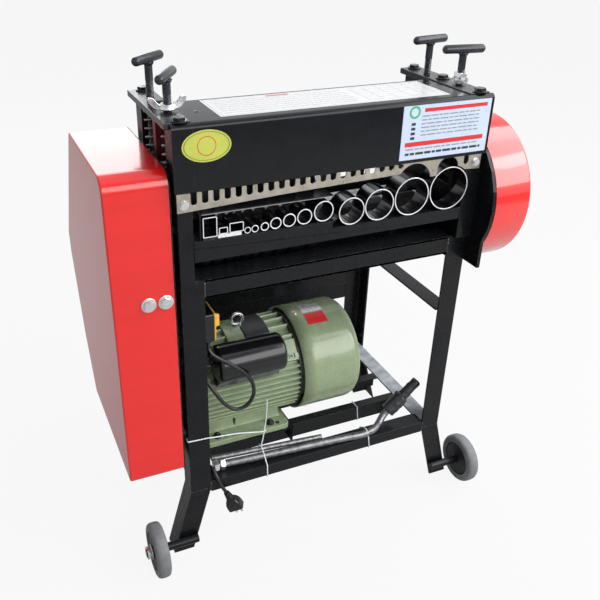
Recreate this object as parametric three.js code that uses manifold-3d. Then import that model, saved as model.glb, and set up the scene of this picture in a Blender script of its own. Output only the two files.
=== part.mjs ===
// Cable stripping machine on a wheeled angle-iron stand, in millimetres, +Z up.
// X runs from the left legs' outer faces, Y from the front legs' faces and Z from the floor;
// the root group at the end of the file then centres the part over its base.
import * as THREE from 'three';
import { mergeVertices } from 'three/addons/utils/BufferGeometryUtils.js';
import Module from 'manifold-3d';

const wasm = await Module();
wasm.setup();

// Clearances
const seatGap = 0.3;
const runningGap = 0.3;
const cutOverrun = 5;
const weldSink = 1;

// Sides of round pieces
const fineSides = 24;
const roundSides = 14;
const smallSides = 8;
const rollerSides = 12;
const nutSides = 6;
const bendSteps = 4;

// Stand of angle iron
const standDepth = 364;
const standTop = 610;
const legFlange = 40;
const legWall = 4;
const kinkHeight = 165;
const footCantShare = 0.277;
const frontLegFoot = 22;
const frontRailDrop = 34;
const railFlange = 34;
const railWall = 4;
const railDrop = 25;
const sideRailInset = 10;
const lowerRailRise = 15;
const sideRailTop = 456;
const backBarTop = 340;
const motorRailDrop = 34;
const motorRailWidth = 20;
const motorRailSpacing = 102;

// Wheels
const wheelRadius = 53;
const wheelWidth = 25;
const wheelOut = 60;
const wheelHubRadius = 18;
const wheelDishDepth = 5;
const wheelRimInner = 37;
const tyreRound = 4;
const axleRadius = 8.5;
const axleInboard = 8;
const hubNutRadius = 14;
const hubNutWidth = 13;

// Side frames of the head, their outer and inner faces, and the screws over them
const leftFrameOuter = -3;
const leftFrameInner = 21;
const rightFrameThickness = 34;
const leftScrewX = 9;
const rightScrewInset = 23;
const frontScrewY = 52;
const backScrewY = 151;
const frameFront = -13;
const frameBack = 204;
const frameTop = 862.7;
const windowFront = 33.4;
const windowBack = 169.6;
const windowBottom = 700;

// Clamp bars
const barBottom = 863;
const barThickness = 10;
const barWidth = 40;
const leftBarOuter = -15;
const rightBarInset = 5;
const barFront = -15.7;
const barBack = 207;
const barBoltRadius = 10;
const barBoltHead = 7;
const barBoltInset = 10;
const stopPostDepth = 16;
const stopPostWidth = 20;

// Shafts, gears and pulleys of the drive
const gearModule = 3;
const gearTeeth = 35;
const pinionTeeth = 22;
const gearWidth = 24;
const gearStandOff = 13;
const rootDepthShare = 1.25;
const toothRootShare = 0.31;
const toothTipShare = 0.13;
const shaftRadius = 12;
const shaftY = 84;
const feedShaftZ = 640;
const restLift = 2.5;
const raiseTravel = 2;
const jackRise = 5;
const beltPlaneX = -62.5;
const beltWidth = 13;
const beltHeight = 8;
const pulleyRimWidth = 4;
const pulleyWeb = 10;
const pulleyRimDepth = 14;
const pulleyHubRadius = 26;
const pulleyHubWidth = 26;
const bigPulleyRadius = 140;
const motorPulleyRadius = 30;
const jackShaftLeft = -80;
const shaftLeftEnd = -7;
const shaftTail = 4;

// Rollers and blades
const rollerLeftGap = 23;
const rollerStepGap = 3.5;
const rollerRightGap = 13;
const smallRollerRadius = 45.5;
const largeRollerRadius = 33;
const rollerGroove = 4;
const spacerRadius = 16;
const spacerLeftGap = 13;
const spacerRightGap = 7;
const smallBladeRadius = 60.5;
const largeBladeRadius = 40;
const bladeHalf = 2.5;

// Bearing blocks, screws and springs
const blockFront = 34;
const blockBack = 169;
const blockHalf = 34;
const pocketDepth = 24;
const screwRadius = 6.5;
const handleRise = 59;
const barHandleLength = 78;
const barHandleRadius = 7.5;
const lockNutRadius = 14;
const lockNutHeight = 9;
const lockNutRise = 3;
const frontLeftDrop = 6;
const wingSpan = 30;
const wingHeight = 20;
const wingWidth = 9;
const wingRootShare = 0.55;
const springRadius = 11;
const springWire = 3.2;
const springCurls = 7;
const springEndSteps = 4;
const curlSteps = 8;
const wireSides = 5;

// Feed panel and tubes
const panelTop = 672;
const panelDrop = 22;
const panelWall = 4;
const shelfDepth = 44;
const tubeNestDepth = 8.1;
const tubeFront = -13;
const tubeLength = 36;
const tubeWall = 2;
const smallSeat = 686;
const roundTubesLeft = 104.9;
const tubeSpacing = 1;
const tubeRadius1 = 5.6;
const tubeRadius2 = 6.2;
const tubeRadius3 = 7.3;
const tubeRadius4 = 10;
const tubeRadius5 = 11.5;
const tubeRadius6 = 13.5;
const tubeRadius7 = 18;
const tubeRadius8 = 24.2;
const tubeRadius9 = 28;
const tubeRadius10 = 34;
const tubeRadius11 = 39.1;
const flatTubesLeft = 36.5;
const flatTubeSpacing = 2.5;
const flatTubeWall = 1.6;
const tallTubeWidth = 23.5;
const tallTubeHeight = 33.7;
const tallTubeRise = 3.5;
const slimTubeWidth = 15;
const slimTubeHeight = 11.5;
const wideTubeWidth = 24;
const wideTubeHeight = 16.5;
const flatTubeRise = 6;
const rackWall = 3;
const rackMargin = 0.5;
const rackRoofGap = 2.8;
const fillerInset = 4;
const fillerLap = 0.4;

// Guide comb
const combFront = -15.7;
const combThickness = 2.4;
const combLeft = -3.5;
const combRightInset = 8;
const combTopGap = 2;
const combFirstTooth = 14;
const combPitch = 18;
const combToothWidth = 8;
const combTeeth = 22;
const combLand = 9;
const combLeftHeight = 30;
const combMidHeight = 22;
const combMidX = 170;
const combEndHeight = 16;
const combEndX = 385;
const combLugHeight = 25;
const combFootX = 450;
const combFootHeight = 28;
const combFootHalf = 6.5;
const combFootRise = 8;
const combEarRise = 9;
const combLastSlotX = 514.5;
const archGap = 2.5;
const leftArchX = 411.5;
const leftArchDrop = 34;
const leftArchRadius = 33;
const rightArchX = 478;
const rightArchDrop = 18;
const rightArchRadius = 21.5;
const combBoltRadius = 7;
const combBoltHead = 5;
const combBoltInset = 11;
const combBoltRise = 12;

// Top cover
const coverFront = -18;
const coverDrop = 2;
const coverHeight = 102;
const coverBack = 113;
const coverWall = 2;
const coverLeft = -7;
const coverBend = 8;
const coverHem = 24;

// Belt cover
const beltCoverLeft = -112;
const beltCoverRight = -12.2;
const sheetWall = 1.6;
const beltCoverFront = -6;
const beltCoverTop = 801;
const beltCoverFloor = 236;
const beltCoverShoulderInset = 117;
const beltCoverElbowReach = 51;
const beltCoverElbowZ = 554;
const beltCoverHipZ = 508;
const beltCoverKneeInset = 11;
const beltCoverKneeZ = 338;
const beltCoverHeelInset = 72;
const beltCoverBend = 26;
const backPlateWall = 2;
const bossRadius = 12;
const shaftHoleShare = 1.5;
const coverBoltRadius = 10;
const coverBoltHead = 7;
const coverWasher = 13;
const coverWasherWall = 2;
const coverBoltZ = 587;
const coverBoltInner = -27;
const coverBoltOuter = -55;

// Gear cover
const drumGearGap = 6.5;
const drumForward = 6;
const drumRise = 33.5;
const drumDepth = 84;
const drumPlateWall = 6.5;
const drumPlateHalf = 119;
const drumPlateBottom = 557;
const drumRound = 6;
const drumRoundSteps = 2;

// Motor
const motorY = 149;
const motorZ = 319;
const motorLeft = 30;
const motorBodyEnd = 262;
const motorCore = 84;
const motorFinReach = 98;
const finWall = 4;
const finPitch = 12;
const finRows = 7;
const finColumns = 3;
const rotorRadius = 49;
const endBell = 14;
const motorShaftRadius = 14;
const motorShaftLeft = -80;
const fanCoverLeft = 253;
const fanCoverRight = 383;
const fanCoverRadius = 107;
const fanCoverWall = 2;
const fanCoverRound = 22;
const fanSlots = 8;
const fanSlotInner = 26;
const fanSlotOuter = 72;
const fanSlotWidth = 7;
const fanTipGap = 15;
const fanWidth = 26;
const footLeft = 48;
const footRight = 225;
const footSpread = 100;
const footThickness = 12;
const footPedestal = 66;
const footBottom = 217;
const terminalLeft = 118;
const terminalRight = 206;
const terminalDepth = 84;
const terminalRadius = 101.5;
const eyeX = 151;
const eyeZ = 432;
const eyeRadius = 12;
const eyeWire = 3.6;
const eyeCollar = 10;
const capacitorLeft = 71;
const capacitorRight = 204;
const capacitorRadius = 36;
const capacitorY = 52;
const capacitorZ = 406;
const glandRadius = 7;
const glandLength = 7;
const supportLeft = 40;
const supportRight = 233;
const supportWall = 4;

// Switch
const switchLeft = 8;
const switchFace = 58;
const switchFront = 8;
const switchBack = 58;
const switchRise = 28;
const switchHeight = 55;
const switchPlateWall = 3;
const knobRadius = 14;
const knobLength = 14;
const knobGripWall = 7;

// Crank handle, tied to the front rail
const crankRadius = 7.5;
const crankSteps = 26;
const crankNutRadius = 12.5;
const crankNutWidth = 9;
const crankNutSpacing = 12.6;
const crankLeft = 54;
const gripBig = 17;
const gripSmall = 11.5;
const gripBigLength = 46;
const gripLength = 91;
const gripRodDepth = 40;
const gripDepth = 55;
const gripFromRight = 111;
const gripStartY = 32;
const gripStartRise = 28;
const gripRiseShare = 0.88;

// Cords
const cordRadius = 3.5;
const cordSides = 8;
const mainsSteps = 58;
const leadSteps = 28;
const plugWidth = 30;
const plugLength = 26;
const plugThickness = 20;
const plugNeck = 18;
const plugNeckRadius = 6;
const plugNeckFlareShare = 1.4;
const pinLength = 14;
const pinRadius = 2.2;
const pinSpacing = 11;

// Round feed tubes from left to right: outer radius, and the gap on its left as a share of the spacing
const smallTubeCount = 7;
const tubeTable = [
  { radius: tubeRadius1, gapShare: 0 },
  { radius: tubeRadius2, gapShare: 0.9 },
  { radius: tubeRadius3, gapShare: 3.3 },
  { radius: tubeRadius4, gapShare: 1.7 },
  { radius: tubeRadius5, gapShare: 2.5 },
  { radius: tubeRadius6, gapShare: 2 },
  { radius: tubeRadius7, gapShare: 3 },
  { radius: tubeRadius8, gapShare: 10.3 },
  { radius: tubeRadius9, gapShare: 0.8 },
  { radius: tubeRadius10, gapShare: 1.2 },
  { radius: tubeRadius11, gapShare: 1.7 },
];
tubeTable.forEach((tube, i) => {
  const left = i === 0 ? roundTubesLeft : tubeTable[i - 1].x + tubeTable[i - 1].radius;
  tube.x = left + tube.gapShare * tubeSpacing + tube.radius;
});
const lastSmallTube = tubeTable[smallTubeCount - 1];
const lastTube = tubeTable[tubeTable.length - 1];

// Flat feed tubes from left to right: left and right faces, bottom and top
const flatTubes = [
  { width: tallTubeWidth, height: tallTubeHeight, rise: tallTubeRise },
  { width: slimTubeWidth, height: slimTubeHeight, rise: flatTubeRise },
  { width: wideTubeWidth, height: wideTubeHeight, rise: flatTubeRise },
];
flatTubes.forEach((tube, i) => {
  tube.left = i === 0 ? flatTubesLeft : flatTubes[i - 1].right + flatTubeSpacing;
  tube.right = tube.left + tube.width;
  tube.bottom = smallSeat + tube.rise;
  tube.top = tube.bottom + tube.height;
});

// Sizes worked out from the driving dimensions
const rightFrameInner = lastTube.x + lastTube.radius - tubeNestDepth;
const rightFrameOuter = rightFrameInner + rightFrameThickness;
const standWidth = rightFrameOuter;
const rightScrewX = rightFrameOuter - rightScrewInset;
const rightBarOuter = rightFrameOuter - rightBarInset;
const gearPlaneX = rightFrameOuter + gearStandOff;
const shaftRightEnd = gearPlaneX + gearWidth + shaftTail;
const rollerLeft = leftFrameInner + rollerLeftGap;
const rollerStep = lastSmallTube.x + lastSmallTube.radius + rollerStepGap;
const rollerRight = rightFrameInner - rollerRightGap;
const spacerLeft = leftFrameInner + spacerLeftGap;
const spacerRight = rightFrameInner - spacerRightGap;
const drumRight = rightFrameOuter + drumDepth;
const combRight = rightFrameOuter - combRightInset;
const beltCoverShoulderY = standDepth - beltCoverShoulderInset;
const beltCoverElbowY = standDepth + beltCoverElbowReach;
const beltCoverKneeY = standDepth - beltCoverKneeInset;
const beltCoverHeelY = standDepth - beltCoverHeelInset;
const rackLeft = flatTubes[0].left - rackMargin;
const rackRight = lastSmallTube.x + lastSmallTube.radius + rackMargin;
const rackTop = flatTubes[0].top + rackRoofGap;
const gripStartX = standWidth - gripFromRight;
const fanRadius = fanCoverRadius - fanTipGap;
const gearRadius = gearModule * gearTeeth / 2;
const pinionRadius = gearModule * pinionTeeth / 2;
const knifeShaftZ = feedShaftZ + gearRadius * 2 + restLift;
const jackReach = Math.sqrt((gearRadius + pinionRadius) ** 2 - jackRise ** 2);
const jackY = shaftY + jackReach;
const jackZ = feedShaftZ + jackRise;
const barTop = barBottom + barThickness;
const barHandleZ = barTop + handleRise;
const drumPlateLeft = rightFrameOuter + seatGap;
const drumPlateRight = drumPlateLeft + drumPlateWall;
const backPlateRight = beltCoverRight + seatGap + backPlateWall;
const blockTop = knifeShaftZ + blockHalf;
const lowerRailTop = kinkHeight + lowerRailRise;
const gripStartZ = lowerRailTop + gripStartRise;
const drumY = shaftY - drumForward;
const drumZ = feedShaftZ + drumRise;
const drumRadius = knifeShaftZ - drumZ + gearRadius + gearModule + drumGearGap;
const switchBottom = sideRailTop + switchRise;
const switchTop = switchBottom + switchHeight;
const coverTop = barTop - coverDrop;
const coverBottom = coverTop - coverHeight;
const combTop = coverBottom - combTopGap;
const axleY = weldSink - axleRadius;

// Materials
function paint(color, roughness, metalness) {
  return new THREE.MeshStandardMaterial({ color, roughness, metalness });
}
const blackPaint = paint(0x1c1e21, 0.45, 0.1);
const redPaint = paint(0xe02a26, 0.3, 0.1);
const greenPaint = paint(0x7f9a75, 0.45, 0.1);
const zinc = paint(0xc8bba6, 0.4, 0.8);
const steel = paint(0x9a9a9a, 0.35, 0.9);
const darkSteel = paint(0x3a3c3f, 0.5, 0.7);
const blackPlastic = paint(0x131416, 0.3, 0);
const yellowPlastic = paint(0xe3b23a, 0.5, 0);
const rubber = paint(0x6f7072, 0.8, 0);
const beltRubber = paint(0x222222, 0.9, 0);

// A closed geometry as a solid, with its faces turned outward
function solid(geometry) {
  const bare = geometry.clone();
  bare.deleteAttribute('normal');
  bare.deleteAttribute('uv');
  const merged = mergeVertices(bare);
  const points = merged.attributes.position.array;
  const corners = merged.index.array;
  const kept = [];
  let volume = 0;
  const a = new THREE.Vector3();
  const b = new THREE.Vector3();
  const c = new THREE.Vector3();
  for (let i = 0; i < corners.length; i += 3) {
    const [p, q, r] = [corners[i], corners[i + 1], corners[i + 2]];
    if (p !== q && q !== r && r !== p) {
      kept.push([p, q, r]);
      a.fromArray(points, p * 3);
      b.fromArray(points, q * 3);
      c.fromArray(points, r * 3);
      volume += a.dot(b.cross(c));
    }
  }
  const turned = volume < 0 ? kept.map(([p, q, r]) => [p, r, q]) : kept;
  return new wasm.Manifold(new wasm.Mesh({
    numProp: 3,
    vertProperties: Float32Array.from(points),
    triVerts: Uint32Array.from(turned.flat()),
  }));
}

function geometryOf(body) {
  const { vertProperties, triVerts } = body.getMesh();
  const geometry = new THREE.BufferGeometry();
  geometry.setAttribute('position', new THREE.BufferAttribute(vertProperties, 3));
  geometry.setIndex(new THREE.BufferAttribute(triVerts, 1));
  const faceted = geometry.toNonIndexed();
  faceted.computeVertexNormals();
  return faceted;
}

const machine = new THREE.Group();

function addPiece(name, body, material) {
  const mesh = new THREE.Mesh(geometryOf(body), material);
  mesh.name = name;
  machine.add(mesh);
}

function joined(...bodies) {
  return bodies.reduce((whole, body) => whole.add(body));
}

function cut(body, ...tools) {
  return tools.reduce((rest, tool) => rest.subtract(tool), body);
}

// Basic shapes between named limits
function box(x0, x1, y0, y1, z0, z1) {
  const geometry = new THREE.BoxGeometry(x1 - x0, y1 - y0, z1 - z0);
  geometry.translate((x0 + x1) / 2, (y0 + y1) / 2, (z0 + z1) / 2);
  return solid(geometry);
}

// Points of an arc between two angles in radians, both ends included
function arcPoints(u, v, radius, from, to, steps) {
  return [...Array(steps + 1).keys()].map((i) => {
    const angle = from + (to - from) * i / steps;
    return [u + radius * Math.cos(angle), v + radius * Math.sin(angle)];
  });
}

const towardX = new THREE.Matrix4().makeBasis(
  new THREE.Vector3(0, 1, 0), new THREE.Vector3(0, 0, 1), new THREE.Vector3(1, 0, 0));
const towardY = new THREE.Matrix4().makeBasis(
  new THREE.Vector3(0, 0, 1), new THREE.Vector3(1, 0, 0), new THREE.Vector3(0, 1, 0));

function extruded(outline, depth) {
  const shape = new THREE.Shape(outline.map(([u, v]) => new THREE.Vector2(u, v)));
  return new THREE.ExtrudeGeometry(shape, { depth, bevelEnabled: false });
}

// Prism of a (y, z) outline from x0 to x1
function prismX(outline, x0, x1) {
  return solid(extruded(outline, x1 - x0).applyMatrix4(towardX).translate(x0, 0, 0));
}

// Prism of an (x, z) outline from y0 to y1
function prismY(outline, y0, y1) {
  const turned = outline.map(([x, z]) => [z, x]);
  return solid(extruded(turned, y1 - y0).applyMatrix4(towardY).translate(0, y0, 0));
}

// Prism of an (x, y) outline from z0 to z1
function prismZ(outline, z0, z1) {
  return solid(extruded(outline, z1 - z0).translate(0, 0, z0));
}

function rodX(y, z, radius, x0, x1, sides = roundSides) {
  const geometry = new THREE.CylinderGeometry(radius, radius, x1 - x0, sides);
  geometry.rotateZ(-Math.PI / 2);
  geometry.translate((x0 + x1) / 2, y, z);
  return solid(geometry);
}

function rodY(x, z, radius, y0, y1, sides = roundSides) {
  const geometry = new THREE.CylinderGeometry(radius, radius, y1 - y0, sides);
  geometry.translate(x, (y0 + y1) / 2, z);
  return solid(geometry);
}

function rodZ(x, y, radius, z0, z1, sides = roundSides) {
  const geometry = new THREE.CylinderGeometry(radius, radius, z1 - z0, sides);
  geometry.rotateX(Math.PI / 2);
  geometry.translate(x, y, (z0 + z1) / 2);
  return solid(geometry);
}

// Turned piece about an X axis; its profile is [x, radius] pairs that start and end on the axis
function turnedX(y, z, profile, sides = roundSides) {
  const points = profile.map(([x, radius]) => new THREE.Vector2(radius, x));
  const geometry = new THREE.LatheGeometry(points, sides);
  geometry.rotateZ(-Math.PI / 2);
  geometry.translate(0, y, z);
  return solid(geometry);
}

// Radius of a faceted bore whose flats clear a shaft
function boreRadius(shaft, sides = roundSides) {
  return (shaft + runningGap) / Math.cos(Math.PI / sides);
}

function sweep(path, radius, sides, steps) {
  const corners = arcPoints(0, 0, radius, 0, 2 * Math.PI, sides).slice(0, sides);
  const section = new THREE.Shape(corners.map(([u, v]) => new THREE.Vector2(u, v)));
  return solid(new THREE.ExtrudeGeometry(section, { steps, extrudePath: path, bevelEnabled: false }));
}

function tubeAlong(points, radius, sides, steps) {
  const path = new THREE.CatmullRomCurve3(points.map((point) => new THREE.Vector3(...point)));
  return sweep(path, radius, sides, steps);
}

// Angle iron: an L in any plane, from a corner, its two flange directions and their widths
function angleOutline(u, v, alongU, alongV, wall) {
  const wallU = Math.sign(alongU) * wall;
  const wallV = Math.sign(alongV) * wall;
  return [
    [u, v], [u + alongU, v], [u + alongU, v + wallV],
    [u + wallU, v + wallV], [u + wallU, v + alongV], [u, v + alongV],
  ];
}

// Stand legs, canted outward below the kink
function leg(name, isLeft, isFront, foot, extras) {
  const cornerX = isLeft ? 0 : standWidth;
  const cornerY = isFront ? 0 : standDepth;
  const alongX = isLeft ? legFlange : -legFlange;
  const alongY = isFront ? legFlange : -legFlange;
  const outline = angleOutline(cornerX, cornerY, alongX, alongY, legWall);
  const upper = prismZ(outline, kinkHeight, standTop - legWall - seatGap);
  const cant = isLeft ? footCantShare : -footCantShare;
  const shear = new THREE.Matrix4().set(
    1, 0, cant, -cant * kinkHeight,
    0, 1, 0, 0,
    0, 0, 1, 0,
    0, 0, 0, 1);
  const lower = extruded(outline, kinkHeight - foot).translate(0, 0, foot).applyMatrix4(shear);
  addPiece(name, joined(upper, solid(lower), ...extras), blackPaint);
}

// Axle tube welded across a front leg, with the nut that holds the wheel
function axle(isLeft) {
  const mirror = (x) => (isLeft ? x : standWidth - x);
  const between = (from, to) => [Math.min(mirror(from), mirror(to)), Math.max(mirror(from), mirror(to))];
  const outerFace = -wheelOut - wheelWidth;
  const tube = rodX(axleY, wheelRadius, axleRadius, ...between(outerFace - hubNutWidth, axleInboard));
  const nutSpan = between(outerFace - hubNutWidth, outerFace - seatGap);
  return joined(tube, rodX(axleY, wheelRadius, hubNutRadius, ...nutSpan, nutSides));
}

function wheel(name, isLeft) {
  const inner = isLeft ? -wheelOut - wheelWidth : standWidth + wheelOut;
  const outer = inner + wheelWidth;
  const tyre = turnedX(axleY, wheelRadius, [
    [inner + wheelDishDepth, 0], [inner + wheelDishDepth, wheelHubRadius],
    [inner + wheelDishDepth, wheelRimInner], [inner, wheelRimInner + tyreRound],
    [inner, wheelRadius - tyreRound], [inner + tyreRound, wheelRadius],
    [outer - tyreRound, wheelRadius], [outer, wheelRadius - tyreRound],
    [outer, wheelRimInner + tyreRound], [outer - wheelDishDepth, wheelRimInner],
    [outer - wheelDishDepth, 0],
  ], fineSides);
  const hub = rodX(axleY, wheelRadius, wheelHubRadius, inner, outer);
  const bore = rodX(axleY, wheelRadius, boreRadius(axleRadius), inner - cutOverrun, outer + cutOverrun);
  addPiece(name, cut(joined(tyre, hub), bore), rubber);
}

// Ring of rails that the head stands on
function topFrame() {
  const flangeBottom = standTop - legWall;
  const railEnds = [legFlange + seatGap, standWidth - legFlange - seatGap];
  const sides = [0, standWidth - legFlange].map((x) => box(
    x, x + legFlange, 0, standDepth, flangeBottom, standTop));
  const stiffeners = [legWall + seatGap, standWidth - railWall - legWall - seatGap].map((x) => box(
    x, x + railWall, legWall + seatGap, standDepth - legWall - seatGap,
    standTop - legFlange, standTop - weldSink));
  const fronts = [0, standDepth - railWall].map((y) => joined(
    box(0, standWidth, y, y + railWall, flangeBottom, standTop),
    box(...railEnds, y, y + railWall, standTop - frontRailDrop, standTop)));
  const lipBottom = standTop - frontRailDrop;
  const lips = [0, standDepth - railFlange].map((y) => box(
    ...railEnds, y, y + railFlange, lipBottom, lipBottom + railWall));
  const backY = standDepth - railWall;
  const panel = box(...railEnds, backY, backY + sheetWall, backBarTop - weldSink, lipBottom + weldSink);
  const bar = box(...railEnds, backY, standDepth, backBarTop - legFlange, backBarTop);
  addPiece('top_frame', joined(...sides, ...stiffeners, ...fronts, ...lips, panel, bar), blackPaint);
}

// Left and right rails: top flange inward, drop flange outside
function sideRail(isLeft, top) {
  const outer = isLeft ? sideRailInset : standWidth - sideRailInset;
  const inward = isLeft ? railFlange : -railFlange;
  const outline = angleOutline(outer, top, inward, -railDrop, railWall);
  return prismY(outline, legWall + seatGap, standDepth - legWall - seatGap);
}

function lowerFrame() {
  const inset = sideRailInset + railFlange;
  const front = prismX(angleOutline(0, lowerRailTop, railFlange, -railDrop, railWall),
    legFlange + seatGap, standWidth - legFlange - seatGap);
  const motorRails = [-1, 1].map((side) => prismX(
    angleOutline(motorY + side * motorRailSpacing / 2, lowerRailTop, -side * motorRailWidth,
      -motorRailDrop, railWall),
    inset - weldSink, standWidth - inset + weldSink));
  const sides = [sideRail(true, lowerRailTop), sideRail(false, lowerRailTop)];
  addPiece('lower_frame', joined(front, ...motorRails, ...sides), blackPaint);
}

// Raised channel between the lower rails and the motor's feet
function motorSupport() {
  const back = motorY + footSpread;
  const front = motorY - footSpread;
  const top = box(supportLeft, supportRight, front, back,
    footBottom - seatGap - supportWall, footBottom - seatGap);
  const webs = [supportLeft, supportRight - supportWall].map((x) => box(
    x, x + supportWall, front, back, lowerRailTop + seatGap, footBottom - seatGap));
  addPiece('motor_support', joined(top, ...webs), blackPaint);
}

// Side frame: a U that holds the lower shafts and guides the bearing block
function sideFrame(name, x0, x1, ...nests) {
  const outline = [
    [frameFront, standTop + seatGap], [frameBack, standTop + seatGap], [frameBack, frameTop],
    [windowBack, frameTop], [windowBack, windowBottom], [windowFront, windowBottom],
    [windowFront, frameTop], [frameFront, frameTop],
  ];
  const bores = [[shaftY, feedShaftZ], [jackY, jackZ]].map(([y, z]) => rodX(
    y, z, boreRadius(shaftRadius), x0 - cutOverrun, x1 + cutOverrun));
  addPiece(name, cut(prismX(outline, x0, x1), ...bores, ...nests), blackPaint);
}

// Room in the right side frame for the last and largest tube
function lastTubeNest() {
  const { x, radius } = lastTube;
  return rodY(x, panelTop + seatGap + radius, boreRadius(radius, fineSides), frameFront - cutOverrun,
    tubeFront + tubeLength + seatGap, fineSides);
}

// Clamp bar over a side frame, with its three bolts and the stop post between the springs
function clampBar(name, x0, screwX) {
  const boltYs = [barFront + barBoltInset, (frontScrewY + backScrewY) / 2, frameBack - barBoltInset];
  const bar = box(x0, x0 + barWidth, barFront, barBack, barBottom, barTop);
  const heads = boltYs.map((y) => rodZ(
    screwX, y, barBoltRadius, barTop - weldSink, barTop + barBoltHead, nutSides));
  const postY = (frontScrewY + backScrewY) / 2;
  const post = box(screwX - stopPostWidth / 2, screwX + stopPostWidth / 2,
    postY - stopPostDepth / 2, postY + stopPostDepth / 2,
    blockTop + raiseTravel + seatGap, barBottom + weldSink);
  const holes = [frontScrewY, backScrewY].map((y) => rodZ(
    screwX, y, boreRadius(screwRadius, smallSides), barBottom - cutOverrun, barTop + cutOverrun, smallSides));
  addPiece(name, cut(joined(bar, ...heads, post), ...holes), darkSteel);
}

function bearingBlock(name, x0, x1, screwX) {
  const body = box(x0, x1, blockFront, blockBack, knifeShaftZ - blockHalf, blockTop);
  const bore = rodX(shaftY, knifeShaftZ, boreRadius(shaftRadius), x0 - cutOverrun, x1 + cutOverrun);
  const pockets = [frontScrewY, backScrewY].map((y) => rodZ(
    screwX, y, boreRadius(screwRadius, smallSides), blockTop - pocketDepth, blockTop + cutOverrun,
    smallSides));
  addPiece(name, cut(body, bore, ...pockets), darkSteel);
}

// Screw with its T handle and any lock nut that turns with it
function clampScrew(name, x, y, degrees, handleZ, ...nuts) {
  const bottom = blockTop - pocketDepth + seatGap;
  const rod = rodZ(x, y, screwRadius, bottom, handleZ, smallSides);
  const bar = new THREE.CylinderGeometry(barHandleRadius, barHandleRadius, barHandleLength, smallSides);
  bar.rotateZ(-Math.PI / 2);
  bar.rotateZ(degrees * Math.PI / 180);
  bar.translate(x, y, handleZ);
  addPiece(name, joined(rod, solid(bar), ...nuts.map((nut) => nut(x, y, barTop + lockNutRise))), darkSteel);
}

function hexNut(x, y, z) {
  return rodZ(x, y, lockNutRadius, z, z + lockNutHeight, nutSides);
}

function doubleNut(x, y, z) {
  return joined(hexNut(x, y, z), rodZ(x, y, screwRadius + weldSink, z, z + lockNutHeight * 2),
    hexNut(x, y, z + lockNutHeight + seatGap));
}

function wingNut(x, y, z) {
  const profile = [
    [-wingSpan, z + wingHeight], [-wingSpan * wingRootShare, z], [wingSpan * wingRootShare, z],
    [wingSpan, z + wingHeight], [wingSpan * wingRootShare, z + wingHeight],
    [screwRadius, z + lockNutHeight], [-screwRadius, z + lockNutHeight],
    [-wingSpan * wingRootShare, z + wingHeight],
  ];
  const wings = prismY(profile, -wingWidth / 2, wingWidth / 2).translate([x, y, 0]);
  return joined(wings, rodZ(x, y, lockNutRadius, z, z + lockNutHeight, roundSides));
}

// Compression spring whose wire starts and ends square to its seats
class SpringPath extends THREE.Curve {
  constructor(x, y, bottom, top) {
    super();
    Object.assign(this, { x, y, bottom, top });
  }

  getPoint(t, target = new THREE.Vector3()) {
    const endShare = 0.02;
    const turn = Math.min(Math.max((t - endShare) / (1 - 2 * endShare), 0), 1);
    const angle = turn * springCurls * 2 * Math.PI;
    const helixBottom = this.bottom + springWire;
    const helixTop = this.top - springWire;
    let z = helixBottom + (helixTop - helixBottom) * turn;
    if (t < endShare) z = this.bottom + springWire * t / endShare;
    if (t > 1 - endShare) z = this.top - springWire * (1 - t) / endShare;
    return target.set(this.x + springRadius * Math.cos(angle), this.y + springRadius * Math.sin(angle), z);
  }
}

// Least gap of a tube to itself, on points that lie more than one curl apart along it
function leastGap(points, apart, radius) {
  let least = Infinity;
  for (let i = 0; i < points.length; i += 1) {
    for (let j = i + apart; j < points.length; j += 1) {
      least = Math.min(least, points[i].distanceTo(points[j]) - radius * 2);
    }
  }
  return least;
}

function spring(name, x, y) {
  const path = new SpringPath(x, y, blockTop + seatGap, barBottom - seatGap);
  const steps = springCurls * curlSteps + springEndSteps;
  const gap = leastGap(path.getSpacedPoints(steps * 2), curlSteps, springWire / 2);
  console.log(name, 'least gap of the wire to itself', gap.toFixed(1), 'mm');
  addPiece(name, sweep(path, springWire / 2, wireSides, steps), steel);
}

// Spur gear outline in (y, z) about a centre, with a tooth centred on the phase angle
function gearOutline(y, z, teeth, phase) {
  const pitch = gearModule * teeth / 2;
  const root = pitch - gearModule * rootDepthShare;
  const tip = pitch + gearModule;
  const step = 2 * Math.PI / teeth;
  const points = [];
  for (let i = 0; i < teeth; i += 1) {
    const middle = phase + i * step;
    for (const [share, radius] of [
      [-toothRootShare, root], [-toothTipShare, tip], [toothTipShare, tip], [toothRootShare, root],
    ]) {
      const angle = middle + share * step;
      points.push([y + radius * Math.cos(angle), z + radius * Math.sin(angle)]);
    }
  }
  return points;
}

const gearStep = 2 * Math.PI / gearTeeth;
const gearRight = gearPlaneX + gearWidth;

function feedGear() {
  const gear = prismX(gearOutline(shaftY, feedShaftZ, gearTeeth, Math.PI / 2), gearPlaneX, gearRight);
  const bore = rodX(shaftY, feedShaftZ, boreRadius(shaftRadius),
    gearPlaneX - cutOverrun, gearRight + cutOverrun);
  addPiece('feed_gear', cut(gear, bore), steel);
}

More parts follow.
